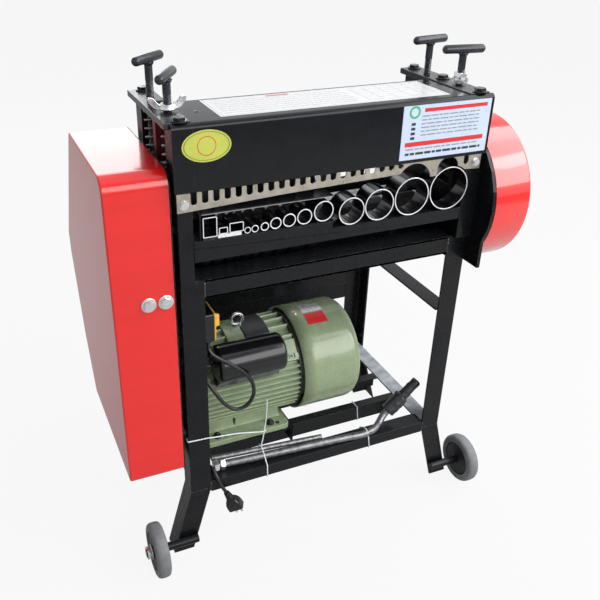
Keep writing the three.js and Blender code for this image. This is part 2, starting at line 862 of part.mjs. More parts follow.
// Feed roller with a small and a large section and a groove under every tube
function feedRoller(grooveXs) {
  const profile = [[shaftLeftEnd, 0], [shaftLeftEnd, shaftRadius], [rollerLeft, shaftRadius],
    [rollerLeft, smallRollerRadius]];
  for (const x of grooveXs.filter((place) => place < rollerStep)) {
    profile.push([x - rollerGroove, smallRollerRadius], [x, smallRollerRadius - rollerGroove],
      [x + rollerGroove, smallRollerRadius]);
  }
  profile.push([rollerStep, smallRollerRadius], [rollerStep, largeRollerRadius]);
  for (const x of grooveXs.filter((place) => place > rollerStep)) {
    profile.push([x - rollerGroove, largeRollerRadius], [x, largeRollerRadius - rollerGroove],
      [x + rollerGroove, largeRollerRadius]);
  }
  profile.push([rollerRight, largeRollerRadius], [rollerRight, shaftRadius],
    [shaftRightEnd, shaftRadius], [shaftRightEnd, 0]);
  addPiece('feed_roller', turnedX(shaftY, feedShaftZ, profile, rollerSides), steel);
}

// Knife shaft: a disc blade over every groove, spacers between them and its gear
function knifeShaft(bladeXs) {
  const profile = [[shaftLeftEnd, 0], [shaftLeftEnd, shaftRadius], [spacerLeft, shaftRadius],
    [spacerLeft, spacerRadius]];
  for (const x of bladeXs) {
    const radius = x < rollerStep ? smallBladeRadius : largeBladeRadius;
    profile.push([x - bladeHalf, spacerRadius], [x, radius], [x + bladeHalf, spacerRadius]);
  }
  profile.push([spacerRight, spacerRadius], [spacerRight, shaftRadius],
    [shaftRightEnd, shaftRadius], [shaftRightEnd, 0]);
  const phase = -Math.PI / 2 + gearStep / 2;
  const gear = prismX(gearOutline(shaftY, knifeShaftZ, gearTeeth, phase), gearPlaneX, gearRight);
  addPiece('knife_shaft', joined(turnedX(shaftY, knifeShaftZ, profile, rollerSides), gear), steel);
}

// Grooved pulley about an X axis; the belt's pitch line lies on its radius
function pulleyProfile(radius, hubRadius) {
  const rim = radius + beltHeight / 2;
  const floor = radius - beltHeight / 2 - seatGap;
  const halfBelt = beltWidth / 2 + seatGap;
  const outer = halfBelt + pulleyRimWidth;
  const inner = floor - pulleyRimDepth;
  const recess = inner > hubRadius ? [[pulleyWeb / 2, hubRadius], [pulleyWeb / 2, inner]] : [];
  const half = [
    [pulleyHubWidth / 2, 0], [pulleyHubWidth / 2, hubRadius], ...recess,
    [outer, Math.max(inner, hubRadius)], [outer, rim], [halfBelt, rim], [halfBelt, floor],
  ];
  const left = half.map(([x, r]) => [beltPlaneX - x, r]);
  const right = half.map(([x, r]) => [beltPlaneX + x, r]).reverse();
  return [...left, ...right];
}

// Jack shaft: the big pulley at the left end and the pinion at the right end
function jackShaft() {
  const toPinion = Math.atan2(jackZ - feedShaftZ, jackY - shaftY);
  const turns = (toPinion - Math.PI / 2) / gearStep;
  const offset = (Math.round(turns) - turns) * gearStep;
  const phase = toPinion + Math.PI - offset * gearTeeth / pinionTeeth + Math.PI / pinionTeeth;
  const pinion = prismX(gearOutline(jackY, jackZ, pinionTeeth, phase), gearPlaneX, gearRight);
  const shaft = rodX(jackY, jackZ, shaftRadius, jackShaftLeft, shaftRightEnd);
  const pulley = turnedX(jackY, jackZ, pulleyProfile(bigPulleyRadius, pulleyHubRadius), fineSides);
  addPiece('jack_shaft', joined(shaft, pulley, pinion), steel);
}

// Points of a belt line that wraps both pulleys at one distance from their pitch radii
function beltLine(offset) {
  const bigR = bigPulleyRadius + offset;
  const smallR = motorPulleyRadius + offset;
  const toSmall = Math.atan2(motorZ - jackZ, motorY - jackY);
  const distance = Math.hypot(motorZ - jackZ, motorY - jackY);
  const wrap = Math.acos((bigR - smallR) / distance);
  return [
    ...arcPoints(motorY, motorZ, smallR, toSmall - wrap, toSmall + wrap, smallSides),
    ...arcPoints(jackY, jackZ, bigR, toSmall + wrap, toSmall + 2 * Math.PI - wrap, fineSides),
  ];
}

function driveBelt() {
  const x0 = beltPlaneX - beltWidth / 2;
  const x1 = beltPlaneX + beltWidth / 2;
  const outside = prismX(beltLine(beltHeight / 2), x0, x1);
  const inside = prismX(beltLine(-beltHeight / 2 + seatGap), x0 - cutOverrun, x1 + cutOverrun);
  addPiece('drive_belt', cut(outside, inside), beltRubber);
}

// Round feed tube, lying on its shelf
function feedTube(name, x, radius, seat) {
  const z = seat + seatGap + radius;
  const wall = Math.min(tubeWall, radius / 4);
  const sides = radius > lastSmallTube.radius ? fineSides : roundSides;
  const outside = rodY(x, z, radius, tubeFront, tubeFront + tubeLength, sides);
  const inside = rodY(x, z, radius - wall,
    tubeFront - cutOverrun, tubeFront + tubeLength + cutOverrun, sides);
  addPiece(name, cut(outside, inside), blackPaint);
}

// Rack of three flat tubes on their packing block
function flatTubeRack() {
  const back = tubeFront + tubeLength;
  const shells = flatTubes.map(({ left, right, bottom, top }) => box(
    left, right, tubeFront, back, bottom, top));
  const hollows = flatTubes.map(({ left, right, bottom, top }) => box(
    left + flatTubeWall, right - flatTubeWall, tubeFront - cutOverrun, back + cutOverrun,
    bottom + flatTubeWall, top - flatTubeWall));
  const [tall, slim, wide] = flatTubes;
  const fillerRight = wide.right - fillerInset;
  const filler = box(tall.right + weldSink, fillerRight, tubeFront, back,
    smallSeat + seatGap, slim.bottom + fillerLap);
  const base = box(tall.left, fillerRight, tubeFront, back, smallSeat + seatGap, tall.bottom + weldSink);
  const ties = box(tall.right - weldSink, wide.left + weldSink, tubeFront, back,
    slim.bottom, slim.bottom + flatTubeWall);
  addPiece('flat_tube_rack', joined(...shells, filler, base, ties).subtract(joined(...hollows)), blackPaint);
}

// Panel below the tubes, with the shelf that carries them and the small tubes' rack plates
function feedPanel() {
  const x0 = leftFrameInner + seatGap;
  const x1 = rightFrameInner - seatGap;
  const back = tubeFront + shelfDepth;
  const face = box(x0, x1, tubeFront, tubeFront + panelWall, panelTop - panelDrop, panelTop);
  const shelf = box(x0, x1, tubeFront, back, panelTop - panelWall, panelTop);
  const riser = box(x0, rackRight, tubeFront, tubeFront + panelWall, panelTop - panelWall, smallSeat);
  const seat = box(x0, rackRight, tubeFront, tubeFront + tubeLength, smallSeat - rackWall, smallSeat);
  const roof = box(rackLeft - rackWall, rackRight, tubeFront + panelWall, tubeFront + tubeLength,
    rackTop, rackTop + rackWall);
  const post = box(rackLeft - rackWall - seatGap, rackLeft - seatGap, tubeFront + panelWall,
    tubeFront + tubeLength, smallSeat - rackWall, rackTop + rackWall);
  addPiece('feed_panel', joined(face, shelf, riser, seat, roof, post), blackPaint);
}

// Toothed guide plate under the cover's lower edge
function guideComb() {
  const back = combFront + combThickness;
  const bottom = [
    [combLeft, combTop - combLeftHeight], [combMidX, combTop - combMidHeight],
    [combEndX, combTop - combEndHeight],
    [combFootX - combFootHalf, combTop - combFootHeight],
    [combFootX + combFootHalf, combTop - combFootHeight],
    [combFootX + 2 * combFootHalf, combTop - combFootHeight + combFootRise],
    [combRight, combTop - combLugHeight],
  ];
  const lowAt = (x) => {
    const last = bottom.findIndex(([place]) => place >= x);
    const [x0, z0] = bottom[Math.max(last - 1, 0)];
    const [x1, z1] = bottom[Math.max(last, 1)];
    return z0 + (z1 - z0) * (x - x0) / (x1 - x0);
  };
  const plate = prismY([
    ...bottom, [combRight, combTop + combEarRise], [combEndX, combTop + combEarRise],
    [combEndX, combTop], [combLeft, combTop],
  ], combFront, back);
  const depth = [combFront - cutOverrun, back + cutOverrun];
  const slots = [];
  const halfSlot = (combPitch - combToothWidth) / 2;
  const slotPlaces = Array.from({ length: combTeeth }, (_, i) => combFirstTooth + (i + 0.5) * combPitch);
  for (const x of [...slotPlaces, combLastSlotX]) {
    const floor = lowAt(x) + combLand + halfSlot;
    slots.push(box(x - halfSlot, x + halfSlot, ...depth, floor, combTop + cutOverrun));
    slots.push(rodY(x, floor, halfSlot, ...depth, smallSides));
  }
  const arches = tubeTable.slice(-2).map(({ x, radius }) => rodY(
    x, panelTop + seatGap + radius, radius + archGap, ...depth));
  arches.push(rodY(leftArchX, combTop - leftArchDrop, leftArchRadius, ...depth));
  arches.push(rodY(rightArchX, combTop - rightArchDrop, rightArchRadius, ...depth));
  const bolts = [combLeft + combBoltInset, combRight - combBoltInset].map((x) => rodY(
    x, lowAt(x) + combBoltRise, combBoltRadius, combFront - combBoltHead, combFront + weldSink, smallSides));
  addPiece('guide_comb', joined(cut(plate, ...slots, ...arches), ...bolts), zinc);
}

// Folded cover: front face, rounded bend, top plate and back hem
function topCover() {
  const inner = coverWall;
  const front = coverFront;
  const right = rightFrameOuter;
  const bendPoints = (radius) => arcPoints(
    front + coverBend, coverTop - coverBend, radius, Math.PI, Math.PI / 2, bendSteps);
  const faceSide = [
    [front, coverBottom], ...bendPoints(coverBend), [coverBack, coverTop],
    [coverBack, coverTop - coverHem], [coverBack - inner, coverTop - coverHem],
    [coverBack - inner, coverTop - inner], ...bendPoints(coverBend - inner).reverse(),
    [front + inner, coverBottom],
  ];
  const whole = prismX(faceSide, coverLeft, right);
  const leftNotch = box(coverLeft - cutOverrun, leftBarOuter + barWidth + seatGap, front + inner,
    coverBack + cutOverrun, coverBottom - cutOverrun, coverTop + cutOverrun);
  const rightNotch = box(rightBarOuter - barWidth - seatGap, right + cutOverrun, front + inner,
    coverBack + cutOverrun, coverBottom - cutOverrun, coverTop + cutOverrun);
  addPiece('top_cover', cut(whole, leftNotch, rightNotch), blackPaint);
}

// Outline of the belt cover, drawn in by a distance, with its front top corner rounded
function beltCoverOutline(inset) {
  const corners = [
    [beltCoverFront, beltCoverFloor], [beltCoverHeelY, beltCoverFloor],
    [beltCoverKneeY, beltCoverKneeZ], [beltCoverElbowY, beltCoverHipZ],
    [beltCoverElbowY, beltCoverElbowZ], [beltCoverShoulderY, beltCoverTop],
  ];
  const bend = beltCoverBend;
  corners.push(...arcPoints(
    beltCoverFront + bend, beltCoverTop - bend, bend, Math.PI / 2, Math.PI, bendSteps));
  return drawnIn(corners, inset);
}

// Moves each side of a counterclockwise convex outline inward by a distance
function drawnIn(corners, inset) {
  if (inset === 0) return corners;
  return corners.map((corner, i) => {
    const before = corners[(i + corners.length - 1) % corners.length];
    const after = corners[(i + 1) % corners.length];
    const into = new THREE.Vector2(corner[0] - before[0], corner[1] - before[1]).normalize();
    const away = new THREE.Vector2(after[0] - corner[0], after[1] - corner[1]).normalize();
    const turn = into.x * away.y - into.y * away.x;
    const along = inset / turn;
    return [
      corner[0] + along * (away.x - into.x),
      corner[1] + along * (away.y - into.y),
    ];
  });
}

function beltCover() {
  const shell = prismX(beltCoverOutline(0), beltCoverLeft, beltCoverRight);
  const hollow = prismX(beltCoverOutline(sheetWall), beltCoverLeft + sheetWall, beltCoverRight + cutOverrun);
  const bolts = [coverBoltInner, coverBoltOuter].map((x) => joined(
    rodY(x, coverBoltZ, coverWasher, beltCoverFront - coverWasherWall, beltCoverFront + weldSink),
    rodY(x, coverBoltZ, coverBoltRadius,
      beltCoverFront - coverBoltHead, beltCoverFront + weldSink, nutSides)));
  addPiece('belt_cover', joined(cut(shell, hollow), ...bolts), redPaint);
}

// Plate that closes the belt cover, on bosses from the side frame and the legs
function beltBackPlate() {
  const x0 = beltCoverRight + seatGap;
  const plate = prismX(beltCoverOutline(0), x0, backPlateRight);
  const bosses = [
    [windowFront / 2, windowBottom, leftFrameOuter],
    [frameBack - bossRadius * 2, windowBottom, leftFrameOuter],
    [legFlange / 2, lowerRailTop + legFlange * 3, 0], [standDepth - legFlange / 2, sideRailTop, 0],
  ].map(([y, z, face]) => rodX(y, z, bossRadius, backPlateRight - weldSink, face - seatGap));
  const shafts = [[jackY, jackZ, shaftRadius], [motorY, motorZ, motorShaftRadius]];
  const shaftHoles = shafts.map(([y, z, radius]) => rodX(
    y, z, radius * shaftHoleShare, x0 - cutOverrun, leftFrameOuter));
  addPiece('belt_back_plate', cut(joined(plate, ...bosses), ...shaftHoles), blackPaint);
}

function gearCover() {
  const x0 = drumPlateRight + seatGap;
  const profile = [
    [drumRight, 0],
    ...arcPoints(drumRight - drumRound, drumRadius - drumRound, drumRound, 0, Math.PI / 2, drumRoundSteps),
    [x0, drumRadius], [x0, drumRadius - sheetWall],
    [drumRight - drumRound, drumRadius - sheetWall],
    [drumRight - sheetWall, drumRadius - drumRound], [drumRight - sheetWall, 0],
  ];
  addPiece('gear_cover', turnedX(drumY, drumZ, profile, fineSides), redPaint);
}

function gearBackPlate() {
  const disc = rodX(drumY, drumZ, drumRadius, drumPlateLeft, drumPlateRight, fineSides);
  const square = box(drumPlateLeft, drumPlateRight, drumY - drumPlateHalf, drumY + drumPlateHalf,
    drumPlateBottom, drumZ);
  const holes = [[shaftY, feedShaftZ], [shaftY, knifeShaftZ], [jackY, jackZ]].map(([y, z]) => rodX(
    y, z, shaftRadius + restLift + raiseTravel, drumPlateLeft - cutOverrun, drumPlateRight + cutOverrun));
  addPiece('gear_back_plate', cut(joined(disc, square), ...holes), blackPaint);
}

// Motor housing: a core with parallel fins, its feet, terminal box and lifting eye
function motorBody() {
  const finEnd = fanCoverLeft - seatGap;
  const core = rodX(motorY, motorZ, motorCore, motorLeft, motorBodyEnd, fineSides);
  const reach = (offset) => Math.sqrt(motorFinReach ** 2 - offset ** 2);
  const fins = [];
  for (let i = -finRows / 2 + 0.5; i < finRows / 2; i += 1) {
    const half = reach(i * finPitch);
    fins.push(box(motorLeft + endBell, finEnd, motorY - half, motorY + half,
      motorZ + i * finPitch - finWall / 2, motorZ + i * finPitch + finWall / 2));
  }
  for (let i = -finColumns / 2 + 0.5; i < finColumns / 2; i += 1) {
    const half = reach(i * finPitch * 2);
    fins.push(box(motorLeft + endBell, finEnd, motorY + i * finPitch * 2 - finWall / 2,
      motorY + i * finPitch * 2 + finWall / 2, motorZ - half, motorZ + half));
  }
  const foot = box(footLeft, footRight, motorY - footSpread, motorY + footSpread, footBottom,
    footBottom + footThickness);
  const pedestal = box(footLeft, footRight - footThickness, motorY - footPedestal, motorY + footPedestal,
    footBottom, motorZ - motorCore / 2);
  const terminalRound = rodX(motorY, motorZ, terminalRadius, terminalLeft, terminalRight, fineSides);
  const terminal = box(terminalLeft - weldSink, terminalRight + weldSink, motorY - terminalDepth / 2,
    motorY + terminalDepth / 2, motorZ + motorCore / 2, motorZ + terminalRadius).intersect(terminalRound);
  const collar = rodZ(eyeX, motorY, eyeCollar, motorZ + motorCore / 2, eyeZ - eyeRadius, smallSides);
  const eye = new THREE.TorusGeometry(eyeRadius, eyeWire, nutSides, roundSides);
  eye.rotateX(Math.PI / 2);
  eye.translate(eyeX, motorY, eyeZ);
  const shield = rodX(motorY, motorZ, fanCoverRadius - fanCoverWall - seatGap, fanCoverLeft + seatGap,
    motorBodyEnd, fineSides);
  const bore = rodX(motorY, motorZ, boreRadius(rotorRadius), motorLeft + endBell, motorBodyEnd + cutOverrun);
  const shaftHole = rodX(motorY, motorZ, boreRadius(motorShaftRadius), motorLeft - cutOverrun,
    motorLeft + endBell + cutOverrun);
  const body = joined(core, ...fins, shield, foot, pedestal, terminal, collar, solid(eye));
  addPiece('motor_body', cut(body, bore, shaftHole), greenPaint);
}

function fanCover() {
  const inside = fanCoverRadius - fanCoverWall;
  const profile = [[fanCoverRight, 0]];
  const roundPoints = (radius) => arcPoints(
    fanCoverRight - fanCoverRound, fanCoverRadius - fanCoverRound, radius, 0, Math.PI / 2, bendSteps);
  profile.push(...roundPoints(fanCoverRound), [fanCoverLeft, fanCoverRadius], [fanCoverLeft, inside]);
  profile.push(...roundPoints(fanCoverRound - fanCoverWall).reverse(), [fanCoverRight - fanCoverWall, 0]);
  const shell = turnedX(motorY, motorZ, profile, fineSides);
  const slots = [];
  for (let i = 0; i < fanSlots; i += 1) {
    const slot = new THREE.BoxGeometry(fanCoverRound, fanSlotOuter - fanSlotInner, fanSlotWidth);
    slot.translate(0, (fanSlotOuter + fanSlotInner) / 2, 0);
    slot.rotateX(2 * Math.PI * i / fanSlots);
    slot.translate(fanCoverRight, motorY, motorZ);
    slots.push(solid(slot));
  }
  addPiece('motor_fan_cover', cut(shell, ...slots), greenPaint);
}

// Rotor: shaft, core, fan disc and the small pulley, turned as one piece
function motorRotor() {
  const fanLeft = motorBodyEnd + fanWidth;
  const shaft = turnedX(motorY, motorZ, [
    [motorShaftLeft, 0], [motorShaftLeft, motorShaftRadius],
    [motorLeft + endBell + cutOverrun, motorShaftRadius], [motorLeft + endBell + cutOverrun, rotorRadius],
    [motorBodyEnd - cutOverrun, rotorRadius], [motorBodyEnd - cutOverrun, motorShaftRadius],
    [fanLeft, motorShaftRadius], [fanLeft, fanRadius], [fanLeft + fanWidth, fanRadius],
    [fanLeft + fanWidth, 0],
  ]);
  const pulley = turnedX(motorY, motorZ, pulleyProfile(motorPulleyRadius, motorShaftRadius + weldSink));
  addPiece('motor_rotor', joined(shaft, pulley), steel);
}

// Capacitor cover saddled on the motor, with the gland of the motor lead
function capacitorCover() {
  const bend = 8;
  const round = turnedX(capacitorY, capacitorZ, [
    [capacitorLeft, 0], [capacitorLeft, capacitorRadius - bend], [capacitorLeft + bend, capacitorRadius],
    [capacitorRight - bend, capacitorRadius], [capacitorRight, capacitorRadius - bend], [capacitorRight, 0],
  ]);
  const room = rodX(motorY, motorZ, motorFinReach + seatGap, capacitorLeft - cutOverrun,
    capacitorRight + cutOverrun, fineSides);
  const gland = rodX(capacitorY, capacitorZ, glandRadius, capacitorLeft - glandLength,
    capacitorLeft + weldSink, smallSides);
  addPiece('capacitor_cover', joined(cut(round, room), gland), blackPlastic);
}

// Switch box with its yellow face plate and two glands below
function switchBox() {
  const body = box(switchLeft, switchFace, switchFront, switchBack, switchBottom, switchTop);
  const plate = box(switchFace - weldSink, switchFace + switchPlateWall, switchFront, switchBack,
    switchBottom, switchTop);
  const lug = box(legWall + seatGap, switchLeft + weldSink, switchFront, switchBack,
    switchBottom + switchPlateWall, switchTop - switchPlateWall);
  const glands = [mainsStart, leadStart].map(([x, y]) => rodZ(
    x, y, glandRadius, switchBottom - glandLength, switchBottom + weldSink, smallSides));
  addPiece('switch_box', joined(body, plate, lug, ...glands), yellowPlastic);
}

function switchKnob() {
  const y = (switchFront + switchBack) / 2;
  const z = (switchBottom + switchTop) / 2;
  const face = switchFace + switchPlateWall + seatGap;
  const disc = rodX(y, z, knobRadius, face, face + knobLength / 2);
  const grip = box(face, face + knobLength, y - knobGripWall / 2, y + knobGripWall / 2,
    z - knobRadius + weldSink, z + knobRadius - weldSink);
  addPiece('switch_knob', joined(disc, grip), blackPlastic);
}

// Crank handle lying on the front rail. The rod's points are shares of its run for X, and of its
// radius for Y and for the height over the rail; its last stretch goes up into the grip
const crankShares = [
  { runShare: 0, acrossShare: 3.33, riseShare: 1.79 },
  { runShare: 0.17, acrossShare: 2.8, riseShare: 1.53 },
  { runShare: 0.428, acrossShare: 2, riseShare: 1.33 },
  { runShare: 0.686, acrossShare: 1.2, riseShare: 1.15 },
  { runShare: 0.83, acrossShare: 0.67, riseShare: 1.09 },
  { runShare: 0.897, acrossShare: 1.47, riseShare: 1.2 },
  { runShare: 0.941, acrossShare: 2.93, riseShare: 1.57 },
  { runShare: 0.973, acrossShare: 4, riseShare: 2.53 },
];
const gripDirection = new THREE.Vector3(1, 0, gripRiseShare).normalize();
const gripStart = new THREE.Vector3(gripStartX, gripStartY, gripStartZ);
const crankRoute = [
  ...crankShares.map(({ runShare, acrossShare, riseShare }) => [
    crankLeft + (gripStartX - crankLeft) * runShare, crankRadius * acrossShare,
    lowerRailTop + crankRadius * riseShare]),
  ...[0, gripRodDepth / 2, gripRodDepth].map((depth) => gripStart.clone()
    .addScaledVector(gripDirection, depth).toArray()),
];

function crankHandle() {
  const rod = tubeAlong(crankRoute, crankRadius, cordSides, crankSteps);
  const [startX, startY, startZ] = crankRoute[0];
  const nuts = [startX, startX + crankNutSpacing].map((x) => rodX(
    startY, startZ, crankNutRadius, x, x + crankNutWidth, nutSides));
  addPiece('crank_handle', joined(rod, ...nuts), steel);
}

function crankGrip() {
  const bore = boreRadius(crankRadius, cordSides);
  const profile = [
    [bore, 0], [gripBig, 0], [gripBig, gripBigLength], [gripSmall, gripBigLength + weldSink],
    [gripSmall, gripLength], [0, gripLength], [0, gripDepth], [bore, gripDepth], [bore, 0],
  ];
  const points = profile.map(([radius, along]) => new THREE.Vector2(radius, along));
  const geometry = new THREE.LatheGeometry(points, roundSides);
  const turn = new THREE.Quaternion().setFromUnitVectors(new THREE.Vector3(0, 1, 0), gripDirection);
  geometry.applyQuaternion(turn);
  geometry.translate(...gripStart.toArray());
  addPiece('crank_grip', solid(geometry), blackPlastic);
}

// Mains cord and motor lead: hand-chosen routes, from gland to plug and from gland to gland
const mainsStart = [50, 46];
const leadStart = [50, 22];
const mainsRoute = [
  [50, 46, 476.7], [50, 46, 450], [46, 47, 425], [33, 49, 395], [25, 50, 355], [23, 52, 290],
  [21, 62, 232], [19, 88, 198], [18, 130, 185], [17, 190, 184.2], [17, 250, 184.2], [19, 295, 184.5],
  [30, 324, 185], [48, 333, 186], [64, 321, 187], [66, 300, 187], [52, 286, 186], [38, 272, 185],
  [34, 244, 184.2], [35, 160, 184.2], [35, 100, 184.6], [35, 60, 189], [39, 36, 197], [46, 15, 200],
  [51, 0, 190], [57, -8, 172], [66, -11, 153],
];
const leadRoute = [
  [50, 22, 476.7], [50, 21, 466], [54, 16, 456], [66, 11, 446], [88, 8, 429], [112, 6, 406],
  [127, 6, 380], [128, 6, 352], [115, 8, 332], [95, 10, 328], [75, 13, 344], [61, 19, 366],
  [50, 30, 386], [44, 43, 400], [51, 51.5, 406], [63.6, 52, 406],
];

function cords() {
  addPiece('mains_cord', tubeAlong(mainsRoute, cordRadius, cordSides, mainsSteps), blackPlastic);
  addPiece('motor_lead', tubeAlong(leadRoute, cordRadius, cordSides, leadSteps), blackPlastic);
}

// Plug at the free end of the mains cord, in line with the cord's last stretch
function mainsPlug() {
  const end = new THREE.Vector3(...mainsRoute[mainsRoute.length - 1]);
  const before = new THREE.Vector3(...mainsRoute[mainsRoute.length - 2]);
  const along = end.clone().sub(before).normalize();
  const neck = new THREE.CylinderGeometry(
    plugNeckRadius * plugNeckFlareShare, plugNeckRadius, plugNeck, smallSides);
  neck.translate(0, plugNeck / 2, 0);
  const body = new THREE.BoxGeometry(plugWidth, plugLength, plugThickness);
  body.translate(0, plugNeck + plugLength / 2 - weldSink, 0);
  const pins = [-pinSpacing / 2, pinSpacing / 2].map((side) => {
    const pin = new THREE.CylinderGeometry(pinRadius, pinRadius, pinLength, nutSides);
    return pin.translate(side, plugNeck + plugLength + pinLength / 2 - weldSink * 2, 0);
  });
  const turn = new THREE.Quaternion().setFromUnitVectors(new THREE.Vector3(0, 1, 0), along);
  const start = end.clone().addScaledVector(along, seatGap);
  const placed = [neck, body, ...pins].map((geometry) => solid(
    geometry.applyQuaternion(turn).translate(start.x, start.y, start.z)));
  addPiece('mains_plug', joined(...placed), blackPlastic);
}

// Assembly: stand
leg('front_left_leg', true, true, frontLegFoot, [axle(true)]);
leg('front_right_leg', false, true, frontLegFoot, [axle(false)]);
leg('back_left_leg', true, false, 0, []);
leg('back_right_leg', false, false, 0, []);
topFrame();
lowerFrame();
addPiece('left_side_rail', sideRail(true, sideRailTop), blackPaint);
addPiece('right_side_rail', sideRail(false, sideRailTop), blackPaint);
motorSupport();
wheel('left_wheel', true);
wheel('right_wheel', false);

// Assembly: head
sideFrame('left_side_frame', leftFrameOuter, leftFrameInner);
sideFrame('right_side_frame', rightFrameInner, rightFrameOuter, lastTubeNest());
clampBar('left_clamp_bar', leftBarOuter, leftScrewX);
clampBar('right_clamp_bar', rightBarOuter - barWidth, rightScrewX);
bearingBlock('left_bearing_block', leftFrameOuter, leftFrameInner, leftScrewX);
bearingBlock('right_bearing_block', rightFrameInner, rightFrameOuter, rightScrewX);
clampScrew('back_left_screw', leftScrewX, backScrewY, 42, barHandleZ);
clampScrew('front_left_screw', leftScrewX, frontScrewY, 58, barHandleZ - frontLeftDrop, wingNut);
clampScrew('back_right_screw', rightScrewX, backScrewY, 9, barHandleZ);
clampScrew('front_right_screw', rightScrewX, frontScrewY, -9, barHandleZ, doubleNut);
spring('back_left_spring', leftScrewX, backScrewY);
spring('front_left_spring', leftScrewX, frontScrewY);
spring('back_right_spring', rightScrewX, backScrewY);
spring('front_right_spring', rightScrewX, frontScrewY);
feedPanel();
topCover();
guideComb();
flatTubeRack();
tubeTable.forEach(({ x, radius }, i) => {
  feedTube(`feed_tube_${i + 1}`, x, radius, i < smallTubeCount ? smallSeat : panelTop);
});

// Assembly: drive
const flatTubeXs = flatTubes.map(({ left, right }) => (left + right) / 2);
const stationXs = [...flatTubeXs, ...tubeTable.map(({ x }) => x)];
feedRoller(stationXs);
feedGear();
knifeShaft(stationXs);
jackShaft();
driveBelt();
motorRotor();
beltCover();
beltBackPlate();
gearCover();
gearBackPlate();

// Assembly: motor, switch, crank and cords
motorBody();
fanCover();
capacitorCover();
switchBox();
switchKnob();
crankHandle();
crankGrip();
cords();
mainsPlug();

// The part's origin is the middle of its box, on the floor
const leftmost = beltCoverLeft;
const rightmost = standWidth + wheelOut + wheelWidth + hubNutWidth;
const foremost = axleY - wheelRadius;
const rearmost = beltCoverElbowY;
const part = new THREE.Group();
machine.position.set(-(leftmost + rightmost) / 2, -(foremost + rearmost) / 2, 0);
part.add(machine);

export default part;
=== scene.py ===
# Looks of a cable stripping machine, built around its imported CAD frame. Metres, +Z up.
# Pieces are made in the machine's own axes: X from the left legs' outer faces, Y from the front
# legs' faces and Z from the floor. piece() then moves each one to the frame's place.
import math

import bmesh
import bpy
from mathutils import Matrix, Vector, noise


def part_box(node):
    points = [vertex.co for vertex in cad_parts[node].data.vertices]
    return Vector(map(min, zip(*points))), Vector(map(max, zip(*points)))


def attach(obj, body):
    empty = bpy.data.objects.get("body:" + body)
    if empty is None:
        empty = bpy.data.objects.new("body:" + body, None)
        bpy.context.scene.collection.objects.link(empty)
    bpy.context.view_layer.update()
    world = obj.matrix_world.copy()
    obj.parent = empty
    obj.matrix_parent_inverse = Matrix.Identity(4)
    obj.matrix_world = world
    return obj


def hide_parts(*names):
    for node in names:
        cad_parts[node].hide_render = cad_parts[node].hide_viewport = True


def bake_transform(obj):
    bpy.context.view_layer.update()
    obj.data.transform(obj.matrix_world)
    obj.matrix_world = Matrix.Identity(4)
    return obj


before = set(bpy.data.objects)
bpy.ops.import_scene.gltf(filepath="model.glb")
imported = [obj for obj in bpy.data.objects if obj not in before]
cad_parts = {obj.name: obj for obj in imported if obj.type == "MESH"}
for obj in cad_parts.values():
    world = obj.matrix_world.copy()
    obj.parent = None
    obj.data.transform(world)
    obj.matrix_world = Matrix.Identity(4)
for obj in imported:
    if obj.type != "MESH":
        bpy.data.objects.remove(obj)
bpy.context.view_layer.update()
scene = bpy.context.scene
top_frame_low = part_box("top_frame")[0]
ORIGIN = Vector((top_frame_low.x, top_frame_low.y, 0))

# Camera, as fitted to the photograph, and the floor
CAMERA_PLACE = Vector((-0.5515, -1.18325, 1.158))
CAMERA_AZIMUTH = math.radians(23.54)
CAMERA_PITCH = math.radians(28.99)
CAMERA_ROLL = math.radians(0.85)
SENSOR_WIDTH = 36
FOCAL_PIXELS = 734.1
IMAGE_PIXELS = 600
AXIS_OFF_CENTRE_PIXELS = 30
FLOOR_HALF = 12


def make_camera():
    """Camera that sees the machine as the photograph does."""
    right = Vector((math.cos(CAMERA_AZIMUTH), -math.sin(CAMERA_AZIMUTH), 0))
    look = Vector((
        math.sin(CAMERA_AZIMUTH) * math.cos(CAMERA_PITCH),
        math.cos(CAMERA_AZIMUTH) * math.cos(CAMERA_PITCH),
        -math.sin(CAMERA_PITCH)))
    up = right.cross(look)
    rolled_right = right * math.cos(CAMERA_ROLL) + up * math.sin(CAMERA_ROLL)
    rolled_up = up * math.cos(CAMERA_ROLL) - right * math.sin(CAMERA_ROLL)
    data = bpy.data.cameras.new("camera")
    data.sensor_width = SENSOR_WIDTH
    data.lens = SENSOR_WIDTH * FOCAL_PIXELS / IMAGE_PIXELS
    data.shift_x = AXIS_OFF_CENTRE_PIXELS / IMAGE_PIXELS
    camera = bpy.data.objects.new("camera", data)
    turn = Matrix((rolled_right, rolled_up, -look)).transposed().to_4x4()
    camera.matrix_world = Matrix.Translation(CAMERA_PLACE) @ turn
    scene.collection.objects.link(camera)
    scene.camera = camera


make_camera()
scene.view_settings.view_transform = "Standard"


# Node helpers for materials
def node_of(tree, kind, **values):
    """New node with its inputs or properties set; an underscore in a key stands for a space."""
    node = tree.nodes.new(kind)
    for key, value in values.items():
        socket = node.inputs.get(key.replace("_", " "))
        if socket is None:
            setattr(node, key, value)
        else:
            socket.default_value = value
    return node


def rgba(colour):
    return (*colour, 1)


def noise_value(tree, coords, scale, detail=4, roughness=0.6):
    node = node_of(tree, "ShaderNodeTexNoise", Scale=scale, Detail=detail, Roughness=roughness)
    tree.links.new(coords, node.inputs["Vector"])
    return node.outputs["Fac"]


def mapped(tree, value, low, high, to_low, to_high):
    """The value, with one range stretched to another."""
    node = node_of(tree, "ShaderNodeMapRange")
    for key, limit in (("From Min", low), ("From Max", high), ("To Min", to_low), ("To Max", to_high)):
        node.inputs[key].default_value = limit
    tree.links.new(value, node.inputs["Value"])
    return node.outputs["Result"]


